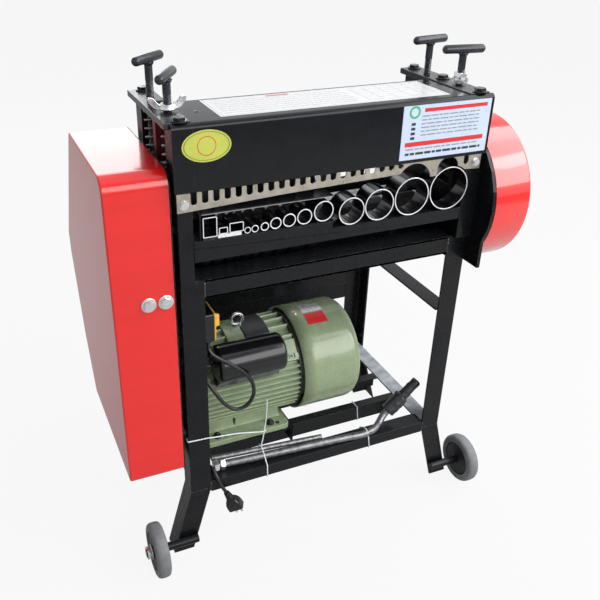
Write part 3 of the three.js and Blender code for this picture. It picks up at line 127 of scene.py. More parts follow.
def mixed(tree, factor, first, second):
    """Colour mix; first and second are colours or sockets."""
    node = node_of(tree, "ShaderNodeMix", data_type="RGBA")
    tree.links.new(factor, node.inputs[0])
    for socket, value in ((node.inputs[6], first), (node.inputs[7], second)):
        if isinstance(value, tuple):
            socket.default_value = value
        else:
            tree.links.new(value, socket)
    return node.outputs[2]


def multiplied(tree, first, second):
    node = node_of(tree, "ShaderNodeMath", operation="MULTIPLY")
    for socket, value in zip(node.inputs, (first, second)):
        if isinstance(value, (int, float)):
            socket.default_value = value
        else:
            tree.links.new(value, socket)
    return node.outputs[0]


def edge_mask(tree, radius):
    """1 where the surface turns within a radius, as at an edge."""
    bevel = node_of(tree, "ShaderNodeBevel", samples=4, Radius=radius)
    geometry = node_of(tree, "ShaderNodeNewGeometry")
    dot = node_of(tree, "ShaderNodeVectorMath", operation="DOT_PRODUCT")
    tree.links.new(bevel.outputs["Normal"], dot.inputs[0])
    tree.links.new(geometry.outputs["Normal"], dot.inputs[1])
    return mapped(tree, dot.outputs["Value"], 0.98, 0.8, 0, 1)


# Colour and noise scale of the pale film on upward faces: dusting, and at full strength a painted sky sheen.
DUST_AND_SHEEN_COLOUR, DUST_AND_SHEEN_SCALE = (0.6, 0.64, 0.7), 40
WEAR_RADIUS, WEAR_SCALE, WEAR_START, WEAR_FULL = 0.0012, 180, 0.56, 0.62
COAT_ROUGHNESS, GRAIN_DEPTH = 0.06, 0.0004


def finish(name, colour, roughness, metallic=0.0, coat=0.0, mottle=0.12, mottle_scale=25,
           smear=0.08, smear_scale=60, bump=0.1, bump_scale=700, worn=None, wear=0.0,
           dust_and_sheen=0.0, specular=0.5, stretch=None):
    """Painted, plated or moulded surface with mottling, smears, grain, worn edges, and pale upward faces: light
    dusting, which at full strength is a painted sky sheen.
    """
    material = bpy.data.materials.new(name)
    material.use_nodes = True
    tree = material.node_tree
    shader = tree.nodes["Principled BSDF"]
    coords = node_of(tree, "ShaderNodeTexCoord").outputs["Object"]
    if stretch:
        mapping = node_of(tree, "ShaderNodeMapping")
        mapping.inputs["Scale"].default_value = stretch
        tree.links.new(coords, mapping.inputs["Vector"])
        coords = mapping.outputs["Vector"]
    broad = mapped(tree, noise_value(tree, coords, mottle_scale), 0.3, 0.7, 0, 1)
    dark = rgba(tuple(c * (1 - mottle) for c in colour))
    light = rgba(tuple(min(1, c * (1 + mottle)) for c in colour))
    shade = mixed(tree, broad, dark, light)
    rough = mapped(tree, noise_value(tree, coords, smear_scale, 6, 0.7), 0.25, 0.75,
                   max(0.02, roughness - smear), min(1, roughness + smear))
    if wear > 0:
        patches = mapped(tree, noise_value(tree, coords, WEAR_SCALE, 5, 0.75),
                         WEAR_START - 0.14 * wear, WEAR_FULL, 0, 1)
        mask = multiplied(tree, edge_mask(tree, WEAR_RADIUS), patches)
        shade = mixed(tree, mask, shade, rgba(worn))
    # Upward faces turn pale: dusting, and at full strength a painted sheen of sky light.
    if dust_and_sheen > 0:
        geometry = node_of(tree, "ShaderNodeNewGeometry")
        split = node_of(tree, "ShaderNodeSeparateXYZ")
        tree.links.new(geometry.outputs["Normal"], split.inputs[0])
        upward = mapped(tree, split.outputs["Z"], 0.4, 1, 0, dust_and_sheen)
        cloudy = mapped(tree, noise_value(tree, coords, DUST_AND_SHEEN_SCALE, 6, 0.7), 0.3, 0.7, 0.3, 1)
        shade = mixed(tree, multiplied(tree, upward, cloudy), shade, rgba(DUST_AND_SHEEN_COLOUR))
    tree.links.new(shade, shader.inputs["Base Color"])
    tree.links.new(rough, shader.inputs["Roughness"])
    for key, value in (("Metallic", metallic), ("Coat Weight", coat), ("Coat Roughness", COAT_ROUGHNESS),
                       ("Specular IOR Level", specular)):
        shader.inputs[key].default_value = value
    grain = node_of(tree, "ShaderNodeBump", Strength=bump, Distance=GRAIN_DEPTH)
    tree.links.new(noise_value(tree, coords, bump_scale, 3), grain.inputs["Height"])
    tree.links.new(grain.outputs["Normal"], shader.inputs["Normal"])
    return material


black_paint = finish("black_satin_paint", (0.0065, 0.007, 0.008), 0.27, coat=0.07, mottle=0.25, smear=0.1,
                     bump=0.14, bump_scale=420, worn=(0.2, 0.2, 0.2), wear=0.55, dust_and_sheen=0.02, specular=0.2)
# Black paint with fully pale upward faces: some dusting, and a painted sky reflection.
dust_and_sheen_paint = finish("black_paint_with_dust_and_sheen", (0.012, 0.012, 0.013), 0.4, mottle=0.25, smear=0.12, bump=0.2,
                     bump_scale=300, worn=(0.25, 0.25, 0.25), wear=0.6, dust_and_sheen=1.0, specular=0.4)
weld_paint = finish("painted_weld", (0.008, 0.0085, 0.01), 0.14, coat=0.8, mottle=0.2, smear=0.04, bump=0.1)
black_sheet = finish("black_sheet_paint", (0.007, 0.0075, 0.0095), 0.2, coat=0.1, mottle=0.2, smear=0.07,
                     bump=0.08, bump_scale=350, worn=(0.2, 0.2, 0.2), wear=0.4, dust_and_sheen=0.01, specular=0.2)
red_paint = finish("glossy_red_paint", (0.84, 0.016, 0.013), 0.2, coat=1.0, mottle=0.04, mottle_scale=9,
                   smear=0.05, bump=0.06, bump_scale=300, worn=(0.55, 0.1, 0.08), wear=0.25)
red_sheet = finish("red_sheet_paint", (0.84, 0.016, 0.013), 0.17, coat=0.35, mottle=0.03, mottle_scale=0.9,
                   smear=0.04, smear_scale=3, bump=0.12, bump_scale=2.2, stretch=(1, 2.5, 60))
green_paint = finish("motor_green_paint", (0.275, 0.35, 0.2), 0.26, coat=0.35, mottle=0.08, smear=0.08,
                     bump=0.22, bump_scale=300, worn=(0.42, 0.46, 0.36), wear=0.35, dust_and_sheen=0.08)
zinc_plate = finish("zinc_plated_plate", (0.44, 0.4, 0.34), 0.34, metallic=0.7, mottle=0.14, mottle_scale=60,
                    smear=0.12, bump=0.12, bump_scale=500, worn=(0.85, 0.82, 0.75), wear=0.3)
zinc_bright = finish("zinc_plated_fastener", (0.7, 0.7, 0.7), 0.24, metallic=0.9, mottle=0.14,
                     mottle_scale=90, smear=0.1, bump=0.1)
bare_steel = finish("bare_steel", (0.4, 0.4, 0.41), 0.36, metallic=0.95, mottle=0.3, mottle_scale=70,
                    smear=0.16, bump=0.2, bump_scale=600)
rod_steel = finish("rolled_rod_steel", (0.2, 0.2, 0.21), 0.4, metallic=0.85, mottle=0.45, mottle_scale=110,
                   smear=0.16, bump=0.6, bump_scale=300)
bright_rim = finish("cut_tube_rim", (0.9, 0.9, 0.92), 0.3, metallic=0.3, mottle=0.06, mottle_scale=150,
                    smear=0.1, bump=0.15, bump_scale=1500)
dark_steel = finish("black_oxide_steel", (0.04, 0.043, 0.05), 0.24, metallic=0.5, mottle=0.25,
                    mottle_scale=60, smear=0.1, bump=0.14, worn=(0.3, 0.3, 0.3), wear=0.6)
spring_steel = finish("spring_steel", (0.2, 0.2, 0.21), 0.3, metallic=0.85, mottle=0.2, mottle_scale=90,
                      smear=0.08, bump=0.12, bump_scale=500)
# Oily steel, darkened further as painted shade for the knives and rollers deep inside the head.
oily_shaded_steel = finish("oily_steel_with_painted_shade", (0.03, 0.03, 0.032), 0.34, metallic=0.7, mottle=0.35, mottle_scale=70,
                    smear=0.14, bump=0.16, bump_scale=600)
dark_red = finish("dark_red_primer", (0.16, 0.009, 0.014), 0.4, mottle=0.3, bump=0.3, bump_scale=400)
black_plastic = finish("glossy_black_plastic", (0.006, 0.006, 0.0075), 0.18, coat=0.2, mottle=0.2, smear=0.06,
                       bump=0.05, bump_scale=250, specular=0.4)
rough_grip = finish("worn_black_grip", (0.015, 0.015, 0.018), 0.4, coat=0.2, mottle=0.35, mottle_scale=90,
                    smear=0.12, bump=1, bump_scale=200, worn=(0.14, 0.14, 0.15), wear=0.7)
cord_rubber = finish("black_cord_sheath", (0.008, 0.008, 0.01), 0.32, mottle=0.2, bump=0.08, bump_scale=500)
yellow_plastic = finish("yellow_switch_plastic", (0.8, 0.45, 0.03), 0.42, mottle=0.08, bump=0.08)
grey_tyre = finish("grey_rubber_tyre", (0.2, 0.205, 0.21), 0.68, mottle=0.2, mottle_scale=70, smear=0.1,
                   bump=0.35, bump_scale=320, dust_and_sheen=0.15)
hub_plastic = finish("wheel_hub", (0.014, 0.014, 0.016), 0.42, mottle=0.25, bump=0.15, bump_scale=400,
                     dust_and_sheen=0.06)
belt_rubber = finish("belt_rubber", (0.03, 0.03, 0.03), 0.7, mottle=0.2, bump=0.3)
white_sticker = finish("white_sticker", (0.6, 0.7, 0.86), 0.3, mottle=0.03, bump=0.03)
white_plate = finish("white_placard", (0.82, 0.83, 0.83), 0.3, mottle=0.03, bump=0.03)
# Grey print, and also the painted highlight strip on the rack roof's edge.
grey_print_and_highlight = finish("grey_print_and_highlight", (0.3, 0.3, 0.31), 0.4, mottle=0.05, bump=0.03)
pale_print = finish("pale_print", (0.5, 0.5, 0.51), 0.4, mottle=0.05, bump=0.03)
# Dark print, and also the dark rings and discs painted as shade in gaps and holes.
dark_print_and_shade = finish("dark_print_and_shade", (0.03, 0.03, 0.035), 0.4, mottle=0.05, bump=0.03)
red_print = finish("red_print", (0.72, 0.03, 0.035), 0.34, mottle=0.05, bump=0.03)
green_print = finish("green_print", (0.1, 0.42, 0.2), 0.38, mottle=0.05, bump=0.03)
yellow_sticker = finish("yellow_sticker", (0.58, 0.62, 0.1), 0.3, mottle=0.05, bump=0.03)
silver_plate = finish("silver_plate", (0.72, 0.72, 0.74), 0.3, metallic=0.6, mottle=0.05, bump=0.05)
pad_grey = finish("dark_grey_pad", (0.035, 0.034, 0.04), 0.45, mottle=0.15, bump=0.2, bump_scale=500)
brass = finish("brass_screw", (0.72, 0.5, 0.2), 0.3, metallic=0.9, mottle=0.1, bump=0.05)
white_tie = finish("white_tie", (0.8, 0.84, 0.86), 0.35, mottle=0.04, bump=0.04)
floor_finish = finish("pale_floor", (0.5, 0.5, 0.5), 0.7, mottle=0.01, bump=0.01)


# Mesh helpers. Axes are numbered 0 for X, 1 for Y and 2 for Z
def spot(axis, along, first, second):
    """Point at a distance along one axis, with its places on the two others in their order."""
    place = [first, second]
    place.insert(axis, along)
    return Vector(place)


def add_faces(bm, rings, caps=True, bands=None):
    """Skins closed rings of points, ring to ring, and caps the ends; bands are the material numbers."""
    made = [[bm.verts.new(point) for point in ring] for ring in rings]
    count = len(made[0])
    for number, (ring, above) in enumerate(zip(made, made[1:])):
        for i in range(count):
            j = (i + 1) % count
            face = bm.faces.new((ring[i], ring[j], above[j], above[i]))
            face.material_index = bands[number] if bands else 0
    if caps:
        bm.faces.new(made[0][::-1])
        bm.faces.new(made[-1])


def add_prism(bm, outline, axis, low, high, material=0):
    """Prism along an axis, from an outline in the plane across it."""
    before = len(bm.faces)
    add_faces(bm, [[spot(axis, along, *point) for point in outline] for along in (low, high)])
    bm.faces.ensure_lookup_table()
    for face in bm.faces[before:]:
        face.material_index = material


def add_box(bm, low, high, material=0):
    outline = [(low[0], low[1]), (high[0], low[1]), (high[0], high[1]), (low[0], high[1])]
    add_prism(bm, outline, 2, low[2], high[2], material)


def arc(centre, radius, start, end, steps):
    """Points of an arc in degrees, both ends included."""
    angles = [math.radians(start + (end - start) * i / steps) for i in range(steps + 1)]
    return [(centre[0] + radius * math.cos(a), centre[1] + radius * math.sin(a)) for a in angles]


def add_turned(bm, profile, centre, axis, segments=64, bands=None):
    """Turns (along, radius) pairs about an axis through centre. A profile that closes on itself is a ring."""
    along_axis = Vector(axis).normalized()
    side = along_axis.orthogonal().normalized()
    other = along_axis.cross(side)
    closed = profile[0] == profile[-1]
    rings = []
    for along, radius in profile:
        place = Vector(centre) + along_axis * along
        rings.append([place + (side * math.cos(a) + other * math.sin(a)) * radius for a in around(segments)])
    add_faces(bm, rings, caps=not closed and profile[0][1] > 0, bands=bands)


def add_rod(bm, start, end, radius, segments=32, chamfer=0.0005):
    """Round rod from one point to another, with cut edges."""
    start, end = Vector(start), Vector(end)
    length = (end - start).length
    profile = [(0, 0), (0, radius - chamfer), (chamfer, radius), (length - chamfer, radius),
               (length, radius - chamfer), (length, 0)]
    add_turned(bm, profile, start, end - start, segments)


def add_sweep(bm, points, radius, sides=12, closed=False):
    """Round wire through points; radius may be a number or a function of the share along."""
    points = [Vector(p) for p in points]
    count = len(points)
    tangents = []
    for i in range(count):
        before = points[i - 1] if i or closed else points[0]
        after = points[(i + 1) % count] if i < count - 1 or closed else points[-1]
        tangents.append((after - before).normalized())
    side = tangents[0].orthogonal().normalized()
    rings = []
    for i, (point, tangent) in enumerate(zip(points, tangents)):
        side = (side - tangent * side.dot(tangent)).normalized()
        other = tangent.cross(side)
        width = radius(i / (count - 1)) if callable(radius) else radius
        rings.append([point + (side * math.cos(a) + other * math.sin(a)) * width for a in around(sides)])
    if closed:
        rings.append(rings[0])
    add_faces(bm, rings, caps=not closed)


def add_hexagon(bm, centre, axis, radius, height, chamfer=0.0012, turn=0.0):
    """Nut or bolt head: a hexagon whose corners are cut by a cone."""
    along_axis = Vector(axis).normalized()
    side = along_axis.orthogonal().normalized()
    other = along_axis.cross(side)
    half_side = math.pi / 6
    rings = []
    for along, share in ((0, 0.93), (chamfer, 1), (height - chamfer, 1), (height, 0.93)):
        ring = []
        for a in around(24):
            from_middle = (a + half_side) % (2 * half_side) - half_side
            reach = radius * min(math.cos(half_side) / math.cos(from_middle), share)
            out = side * math.cos(a + turn) + other * math.sin(a + turn)
            ring.append(Vector(centre) + along_axis * along + out * reach)
        rings.append(ring)
    add_faces(bm, rings)


def around(count):
    """Angles of a whole turn, in radians."""
    return [2 * math.pi * k / count for k in range(count)]


def washer(inner, outer, thick, cut=None):
    """Profile of a washer to turn; cut is how far its outer edges are cut, along and across."""
    rim = [(0, outer), (thick, outer)]
    if cut:
        along, across = cut
        rim = [(0, outer - across), (along, outer), (thick - along, outer), (thick, outer - across)]
    return [(0, inner), *rim, (thick, inner), (0, inner)]


THREAD_PITCH, THREAD_DEPTH, THREAD_STEPS, THREAD_SEGMENTS = 0.002, 0.0009, 6, 20


def add_thread(bm, start, height, radius):
    """Vertical screw thread."""
    rings = []
    for k in range(int(height / THREAD_PITCH * THREAD_STEPS) + 1):
        ring = []
        for i, a in enumerate(around(THREAD_SEGMENTS)):
            turn = (k / THREAD_STEPS - i / THREAD_SEGMENTS) % 1
            reach = radius - THREAD_DEPTH * abs(turn * 2 - 1)
            rise = k * THREAD_PITCH / THREAD_STEPS
            ring.append(Vector(start) + Vector((reach * math.cos(a), reach * math.sin(a), rise)))
        rings.append(ring)
    add_faces(bm, rings)


def piece(name, bm, materials, body="frame", replaced=(), bevel=0.0, bevel_steps=2, smooth=35):
    """Makes an object of a bmesh, with softened edges, and lets it ride on a body."""
    bmesh.ops.remove_doubles(bm, verts=bm.verts, dist=2e-6)
    bmesh.ops.recalc_face_normals(bm, faces=bm.faces)
    mesh = bpy.data.meshes.new(name)
    bm.to_mesh(mesh)
    bm.free()
    mesh.transform(Matrix.Translation(ORIGIN))
    for material in materials if isinstance(materials, (list, tuple)) else [materials]:
        mesh.materials.append(material)
    mesh.shade_smooth()
    mesh.set_sharp_from_angle(angle=math.radians(smooth))
    obj = bpy.data.objects.new(name, mesh)
    scene.collection.objects.link(obj)
    if bevel:
        modifier = obj.modifiers.new("softened_edges", "BEVEL")
        modifier.width = bevel
        modifier.segments = bevel_steps
        modifier.limit_method = "ANGLE"
        modifier.angle_limit = math.radians(40)
        modifier.harden_normals = True
    if body:
        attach(obj, body)
    if replaced:
        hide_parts(*replaced)
    return obj


def node_box(node):
    """Lowest and highest corner of a CAD node, in the machine's own axes."""
    low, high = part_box(node)
    return low - ORIGIN, high - ORIGIN


def angle_section(u, v, along_u, along_v, wall):
    """Section of angle iron with a rounded root, from its corner and its two legs."""
    su, sv = math.copysign(1, along_u), math.copysign(1, along_v)
    root = [(u + su * (wall + wall * (1 - math.sin(a))), v + sv * (wall + wall * (1 - math.cos(a))))
            for a in (math.radians(22.5 * i) for i in range(5))]
    return [(u, v), (u + along_u, v), (u + along_u, v + sv * wall), *root,
            (u + su * wall, v + along_v), (u, v + along_v)]


# Stand
LEG_ANGLE = 0.040
LEG_WALL = 0.004
KINK_HEIGHT = 0.165
CANT_SHARE = 0.277
FRONT_FOOT = 0.022
SEAM_RADIUS, SEAM_RIPPLE, SEAM_WOBBLE = 0.0016, 0.0005, 0.0006
SEAM_STEPS = 24
RAIL_ANGLE = 0.034
RAIL_WALL = 0.004
RAIL_DROP = 0.025
SIDE_FLANGE_DROP = 0.0045
FRONT_FLANGE = 0.046
SIDE_RAIL_INSET = 0.010
MOTOR_RAIL_MIDDLE, MOTOR_RAIL_OFFSET = 0.149, 0.051
MOTOR_RAIL_FLANGE, MOTOR_RAIL_DROP = 0.020, 0.034
MOTOR_RAIL_END = 0.043
BACK_BAR_BOTTOM, BACK_BAR_TOP = 0.300, 0.340
TRAY_BACK, TRAY_HIGH = 0.1996, 0.672
TRAY_SIDE_INSET, TRAY_SIDE_BACK = 0.0085, 0.163
TRAY_LEFT, TRAY_RIGHT = 0.024, 0.516
SHEET = 0.0016
JOINT_GAP = 0.0003
HAIR = 0.0002
EDGE = 0.0008
SHEET_EDGE = 0.0003
STAND_WIDTH, STAND_DEPTH, STAND_TOP = node_box("top_frame")[1]


def stand_leg(name, is_left, is_front):
    """Angle-iron leg with a canted foot and a weld seam across the bend."""
    top = node_box(name)[1].z
    corner = (0 if is_left else STAND_WIDTH, 0 if is_front else STAND_DEPTH)
    section = angle_section(*corner, LEG_ANGLE if is_left else -LEG_ANGLE,
                            LEG_ANGLE if is_front else -LEG_ANGLE, LEG_WALL)
    foot = FRONT_FOOT if is_front else 0
    side = -1 if is_left else 1
    lean = (KINK_HEIGHT - foot) * CANT_SHARE * side
    bm = bmesh.new()
    add_faces(bm, [[Vector((x + shift, y, z)) for x, y in section]
                   for z, shift in ((foot, lean), (KINK_HEIGHT, 0), (top, 0))])
    start = Vector((*corner, KINK_HEIGHT))
    seam = [start - Vector((side * LEG_ANGLE * i / SEAM_STEPS, 0, 0)) for i in range(SEAM_STEPS + 1)]
    wobble = [p + Vector((0, 0, SEAM_WOBBLE * noise.noise(p * 300))) for p in seam]
    add_sweep(bm, wobble, lambda share: SEAM_RADIUS + SEAM_RIPPLE * math.sin(share * 60), 8)
    piece(name + "_angle", bm, black_paint, replaced=[name], bevel=EDGE)


for leg_name, on_left, in_front in (
        ("front_left_leg", True, True), ("front_right_leg", False, True),
        ("back_left_leg", True, False), ("back_right_leg", False, False)):
    stand_leg(leg_name, on_left, in_front)


AXLE_RADIUS = 0.0085
AXLE_INSET = 0.008
RIM_SHARE, BOSS_SHARE = 0.70, 0.34
WEB_DEPTH = 0.0065
WASHER_RADIUS, WASHER = 0.0145, 0.0015
HUB_NUT_RADIUS, HUB_NUT_WIDTH = 0.0138, 0.0085
AXLE_TIP_RADIUS, AXLE_TIP = 0.0062, 0.0118


def tyre(side, centre, radius, half, rim):
    """Tyre with a rounded tread."""
    flank = [(0.005, rim - 0.001), (0, rim), (0, rim + 0.004), (0, radius - 0.006),
             (0.0018, radius - 0.0025), (0.005, radius - 0.0006), (0.009, radius)]
    profile = [(-half + depth, reach) for depth, reach in flank]
    profile += [(-x, reach) for x, reach in reversed(profile)] + profile[:1]
    bm = bmesh.new()
    add_turned(bm, profile, centre, (1, 0, 0), 96)
    piece(side + "_tyre", bm, grey_tyre, side + "_wheel", [side + "_wheel"], bevel=0.0006)


def hub(side, centre, half, rim, boss):
    """Dished hub with five ribs on each face."""
    web = half - WEB_DEPTH
    bore = AXLE_RADIUS + 0.0004
    dish = [(0, bore), (half - 0.001, bore), (half - 0.001, boss - 0.003), (half - 0.003, boss),
            (web, boss + 0.002), (web, rim - 0.008), (web + 0.003, rim - 0.004),
            (half - 0.0015, rim - 0.003), (half - 0.0015, rim)]
    bm = bmesh.new()
    for face in (-1, 1):
        add_turned(bm, [(face * along, reach) for along, reach in dish], centre, (1, 0, 0), 72)
    piece(side + "_hub", bm, hub_plastic, side + "_wheel", bevel=0.0005)
    bm = bmesh.new()
    for angle in around(5):
        for face in (-1, 1):
            root, tip = [Vector((face * (web + 0.0005), reach * math.cos(angle), reach * math.sin(angle)))
                         for reach in (boss, rim - 0.005)]
            add_sweep(bm, [centre + root, centre + (root + tip) / 2, centre + tip], 0.003, 10)
    piece(side + "_hub_ribs", bm, hub_plastic, side + "_wheel")


def wheel(side):
    """Tyre, hub, axle, washer and nut."""
    low, high = node_box(side + "_wheel")
    centre = (low + high) / 2
    out = -1 if side == "left" else 1
    radius = (high.z - low.z) / 2
    half = (high.x - low.x) / 2
    tyre(side, centre, radius, half, radius * RIM_SHARE)
    hub(side, centre, half, radius * RIM_SHARE, radius * BOSS_SHARE)

    def on_axle(x):
        return (x, centre.y, centre.z)

    leg_low, leg_high = node_box(f"front_{side}_leg")
    inboard = AXLE_INSET if side == "left" else STAND_WIDTH - AXLE_INSET
    end = leg_low.x + 0.001 if side == "left" else leg_high.x - 0.001
    bm = bmesh.new()
    add_rod(bm, on_axle(inboard), on_axle(end), AXLE_RADIUS * 0.985, 32, 0.001)
    piece(side + "_axle", bm, black_paint)
    face_x = centre.x + out * (half + 0.0004)
    washer_x = face_x + out * WASHER
    bm = bmesh.new()
    add_turned(bm, washer(AXLE_RADIUS, WASHER_RADIUS, WASHER), on_axle(face_x), (out, 0, 0), 40)
    add_hexagon(bm, on_axle(washer_x), (out, 0, 0), HUB_NUT_RADIUS, HUB_NUT_WIDTH)
    add_rod(bm, on_axle(washer_x), on_axle(face_x + out * AXLE_TIP), AXLE_TIP_RADIUS, 24)
    piece(side + "_hub_nut", bm, zinc_bright)


wheel("left")
wheel("right")


def boxes(name, spans, material, replaced=(), bevel=EDGE):
    """One piece of the frame, made of boxes."""
    bm = bmesh.new()
    for low, high in spans:
        add_box(bm, low, high)
    piece(name, bm, material, "frame", replaced, bevel)


def top_frame():
    """Rails that the head stands on, the sheet and bar across the back, and the tray below the rollers."""
    lip = STAND_TOP - RAIL_ANGLE
    inner = (LEG_ANGLE + JOINT_GAP, STAND_WIDTH - LEG_ANGLE - JOINT_GAP)
    inside = LEG_WALL + JOINT_GAP
    back = STAND_DEPTH - RAIL_WALL
    bm = bmesh.new()
    for x, along in ((0, LEG_ANGLE), (STAND_WIDTH, -LEG_ANGLE)):
        section = angle_section(x, STAND_TOP, along, -SIDE_FLANGE_DROP, LEG_WALL)
        add_prism(bm, section, 1, LEG_WALL, STAND_DEPTH - LEG_WALL)
    for y in (0, back):
        add_box(bm, (0, y, STAND_TOP - LEG_WALL), (STAND_WIDTH, y + RAIL_WALL, STAND_TOP))
    add_box(bm, (inner[0], back, lip), (inner[1], STAND_DEPTH, STAND_TOP - HAIR))
    add_prism(bm, angle_section(0, STAND_TOP - HAIR, FRONT_FLANGE, -RAIL_ANGLE, RAIL_WALL), 0, *inner)
    for y in (0, STAND_DEPTH - RAIL_ANGLE):
        add_box(bm, (inner[0], y, lip), (inner[1], y + RAIL_ANGLE, lip + RAIL_WALL))
    for x in (inside, STAND_WIDTH - inside - RAIL_WALL):
        add_box(bm, (x, inside, STAND_TOP - LEG_ANGLE),
                (x + RAIL_WALL, STAND_DEPTH - inside, STAND_TOP - 0.001))
    piece("top_rails", bm, black_paint, replaced=["top_frame"], bevel=EDGE)
    boxes("back_sheet", [((inner[0], back, BACK_BAR_TOP + HAIR), (inner[1], back + SHEET, lip))],
          black_sheet, bevel=SHEET_EDGE)
    boxes("back_bar", [((inner[0], back, BACK_BAR_BOTTOM), (inner[1], STAND_DEPTH, BACK_BAR_TOP))],
          black_paint)
    low = lip + RAIL_WALL
    boxes("chip_tray", [
        ((inner[0], RAIL_WALL, low), (inner[1], TRAY_BACK, low + SHEET)),
        ((TRAY_SIDE_INSET, LEG_ANGLE + 0.001, low),
         (STAND_WIDTH - TRAY_SIDE_INSET, TRAY_SIDE_BACK, low + 0.0015)),
        ((TRAY_LEFT, TRAY_BACK - SHEET, low + 0.0012), (TRAY_RIGHT, TRAY_BACK, TRAY_HIGH)),
    ], black_sheet, bevel=SHEET_EDGE)


def side_rail(bm, is_left, top):
    """Angle rail from the front legs to the back ones."""
    outer = SIDE_RAIL_INSET if is_left else STAND_WIDTH - SIDE_RAIL_INSET
    section = angle_section(outer, top, RAIL_ANGLE if is_left else -RAIL_ANGLE, -RAIL_DROP, RAIL_WALL)
    inside = LEG_WALL + JOINT_GAP
    add_prism(bm, section, 1, inside, STAND_DEPTH - inside)


def lower_rails():
    """Lower ring with its two motor rails, and the upper rail on each side."""
    top = node_box("lower_frame")[1].z
    end = LEG_ANGLE + JOINT_GAP
    bm = bmesh.new()
    add_prism(bm, angle_section(0, top, RAIL_ANGLE, -RAIL_DROP, RAIL_WALL), 0, end, STAND_WIDTH - end)
    for side in (-1, 1):
        section = angle_section(MOTOR_RAIL_MIDDLE + side * MOTOR_RAIL_OFFSET, top, -side * MOTOR_RAIL_FLANGE,
                                -MOTOR_RAIL_DROP, RAIL_WALL)
        add_prism(bm, section, 0, MOTOR_RAIL_END, STAND_WIDTH - MOTOR_RAIL_END)
    side_rail(bm, True, top)
    piece("lower_rails", bm, black_paint, replaced=["lower_frame"], bevel=EDGE)
    # This rail's pale top is partly dusting and partly a painted sky reflection.
    bm = bmesh.new()
    side_rail(bm, False, top)
    piece("lower_right_rail", bm, dust_and_sheen_paint, bevel=EDGE)
    for side in ("left", "right"):
        node = side + "_side_rail"
        bm = bmesh.new()
        side_rail(bm, side == "left", node_box(node)[1].z)
        piece(side + "_rail_angle", bm, black_paint, replaced=[node], bevel=EDGE)


WELD_RADIUS, THIN_WELD_RADIUS = 0.0018, 0.0014
WELD_STEP, WELD_WOBBLE = 0.0012, 0.0007


def weld_bead(bm, start, end, radius=WELD_RADIUS):
    """Rippled bead that tapers towards both ends."""
    start, end = Vector(start), Vector(end)
    count = max(8, int((end - start).length / WELD_STEP))
    points = [start + (end - start) * i / count for i in range(count + 1)]
    points = [p + Vector([noise.noise(p * scale) for scale in (400, 430, 460)]) * WELD_WOBBLE for p in points]

    def width(share):
        taper = min(1, 6 * share + 0.3, 6 * (1 - share) + 0.3)
        return radius * (1 + 0.18 * math.sin(share * count * 1.3)) * taper

    add_sweep(bm, points, width, 8)


def weld_beads():
    """Beads where the rails meet the legs, and on the top rails."""
    bm = bmesh.new()
    lower = node_box("lower_frame")[1].z
    lip = STAND_TOP - RAIL_ANGLE
    for x in (LEG_ANGLE, STAND_WIDTH - LEG_ANGLE):
        weld_bead(bm, (x, HAIR, lip + 0.002), (x, HAIR, STAND_TOP - 0.003))
        weld_bead(bm, (x, HAIR, lower - RAIL_DROP + 0.002), (x, HAIR, lower - 0.001))
        weld_bead(bm, (x, 0.003, lower + JOINT_GAP), (x, 0.030, lower + JOINT_GAP))
        weld_bead(bm, (x, STAND_DEPTH - HAIR, lip + 0.002), (x, STAND_DEPTH - HAIR, STAND_TOP - 0.003))
    inside = LEG_WALL + 0.0005
    bead_length = 0.028
    for x in (0.012, STAND_WIDTH - 0.042):
        for y in (inside, STAND_DEPTH - inside):
            weld_bead(bm, (x, y, lower + HAIR), (x + bead_length, y, lower + HAIR), THIN_WELD_RADIUS)
    for x in (LEG_WALL, STAND_WIDTH - LEG_WALL):
        weld_bead(bm, (x, 0.02, STAND_TOP + 0.0004), (x, 0.17, STAND_TOP + 0.0004), THIN_WELD_RADIUS)
    piece("weld_beads", bm, weld_paint)


def motor_stand():
    """Raised channel under the motor: a top and two sides."""
    low, high = node_box("motor_support")
    wall = 0.004
    boxes("motor_stand_channel", [
        ((low.x, low.y, high.z - wall), high),
        (low, (low.x + wall, high.y, high.z)),
        ((high.x - wall, low.y, low.z), high),
    ], black_paint, ["motor_support"])


top_frame()
lower_rails()
weld_beads()
motor_stand()


# Head: side frames, clamp bars, blocks, screws and springs
BAR_TOP, BAR_THICKNESS = 0.873, 0.010
BAR_BOLT_RADIUS = 0.0098
BAR_BOLT_PLACES = (-0.0057, 0.1015, 0.194)
SCREW_X = {"left": 0.009, "right": 0.530}
FRONT_SCREW_Y, BACK_SCREW_Y = 0.052, 0.151
SCREW_RADIUS = 0.0065
THREAD_TOP = 0.900
HANDLE_RADIUS, HANDLE_HALF = 0.0075, 0.039
SLOT_FRONT, SLOT_BACK, SLOT_BOTTOM, SLOT_ROUND = 0.0334, 0.1696, 0.700, 0.006
POST_FRONT, POST_BACK, POST_HALF, POST_BOTTOM = 0.0935, 0.1095, 0.010, 0.7838
SPRING_WIRE, SPRING_REACH, SPRING_TURNS, SPRING_STEPS = 0.0016, 0.011, 7, 28
NUT_SEAT = 0.8762


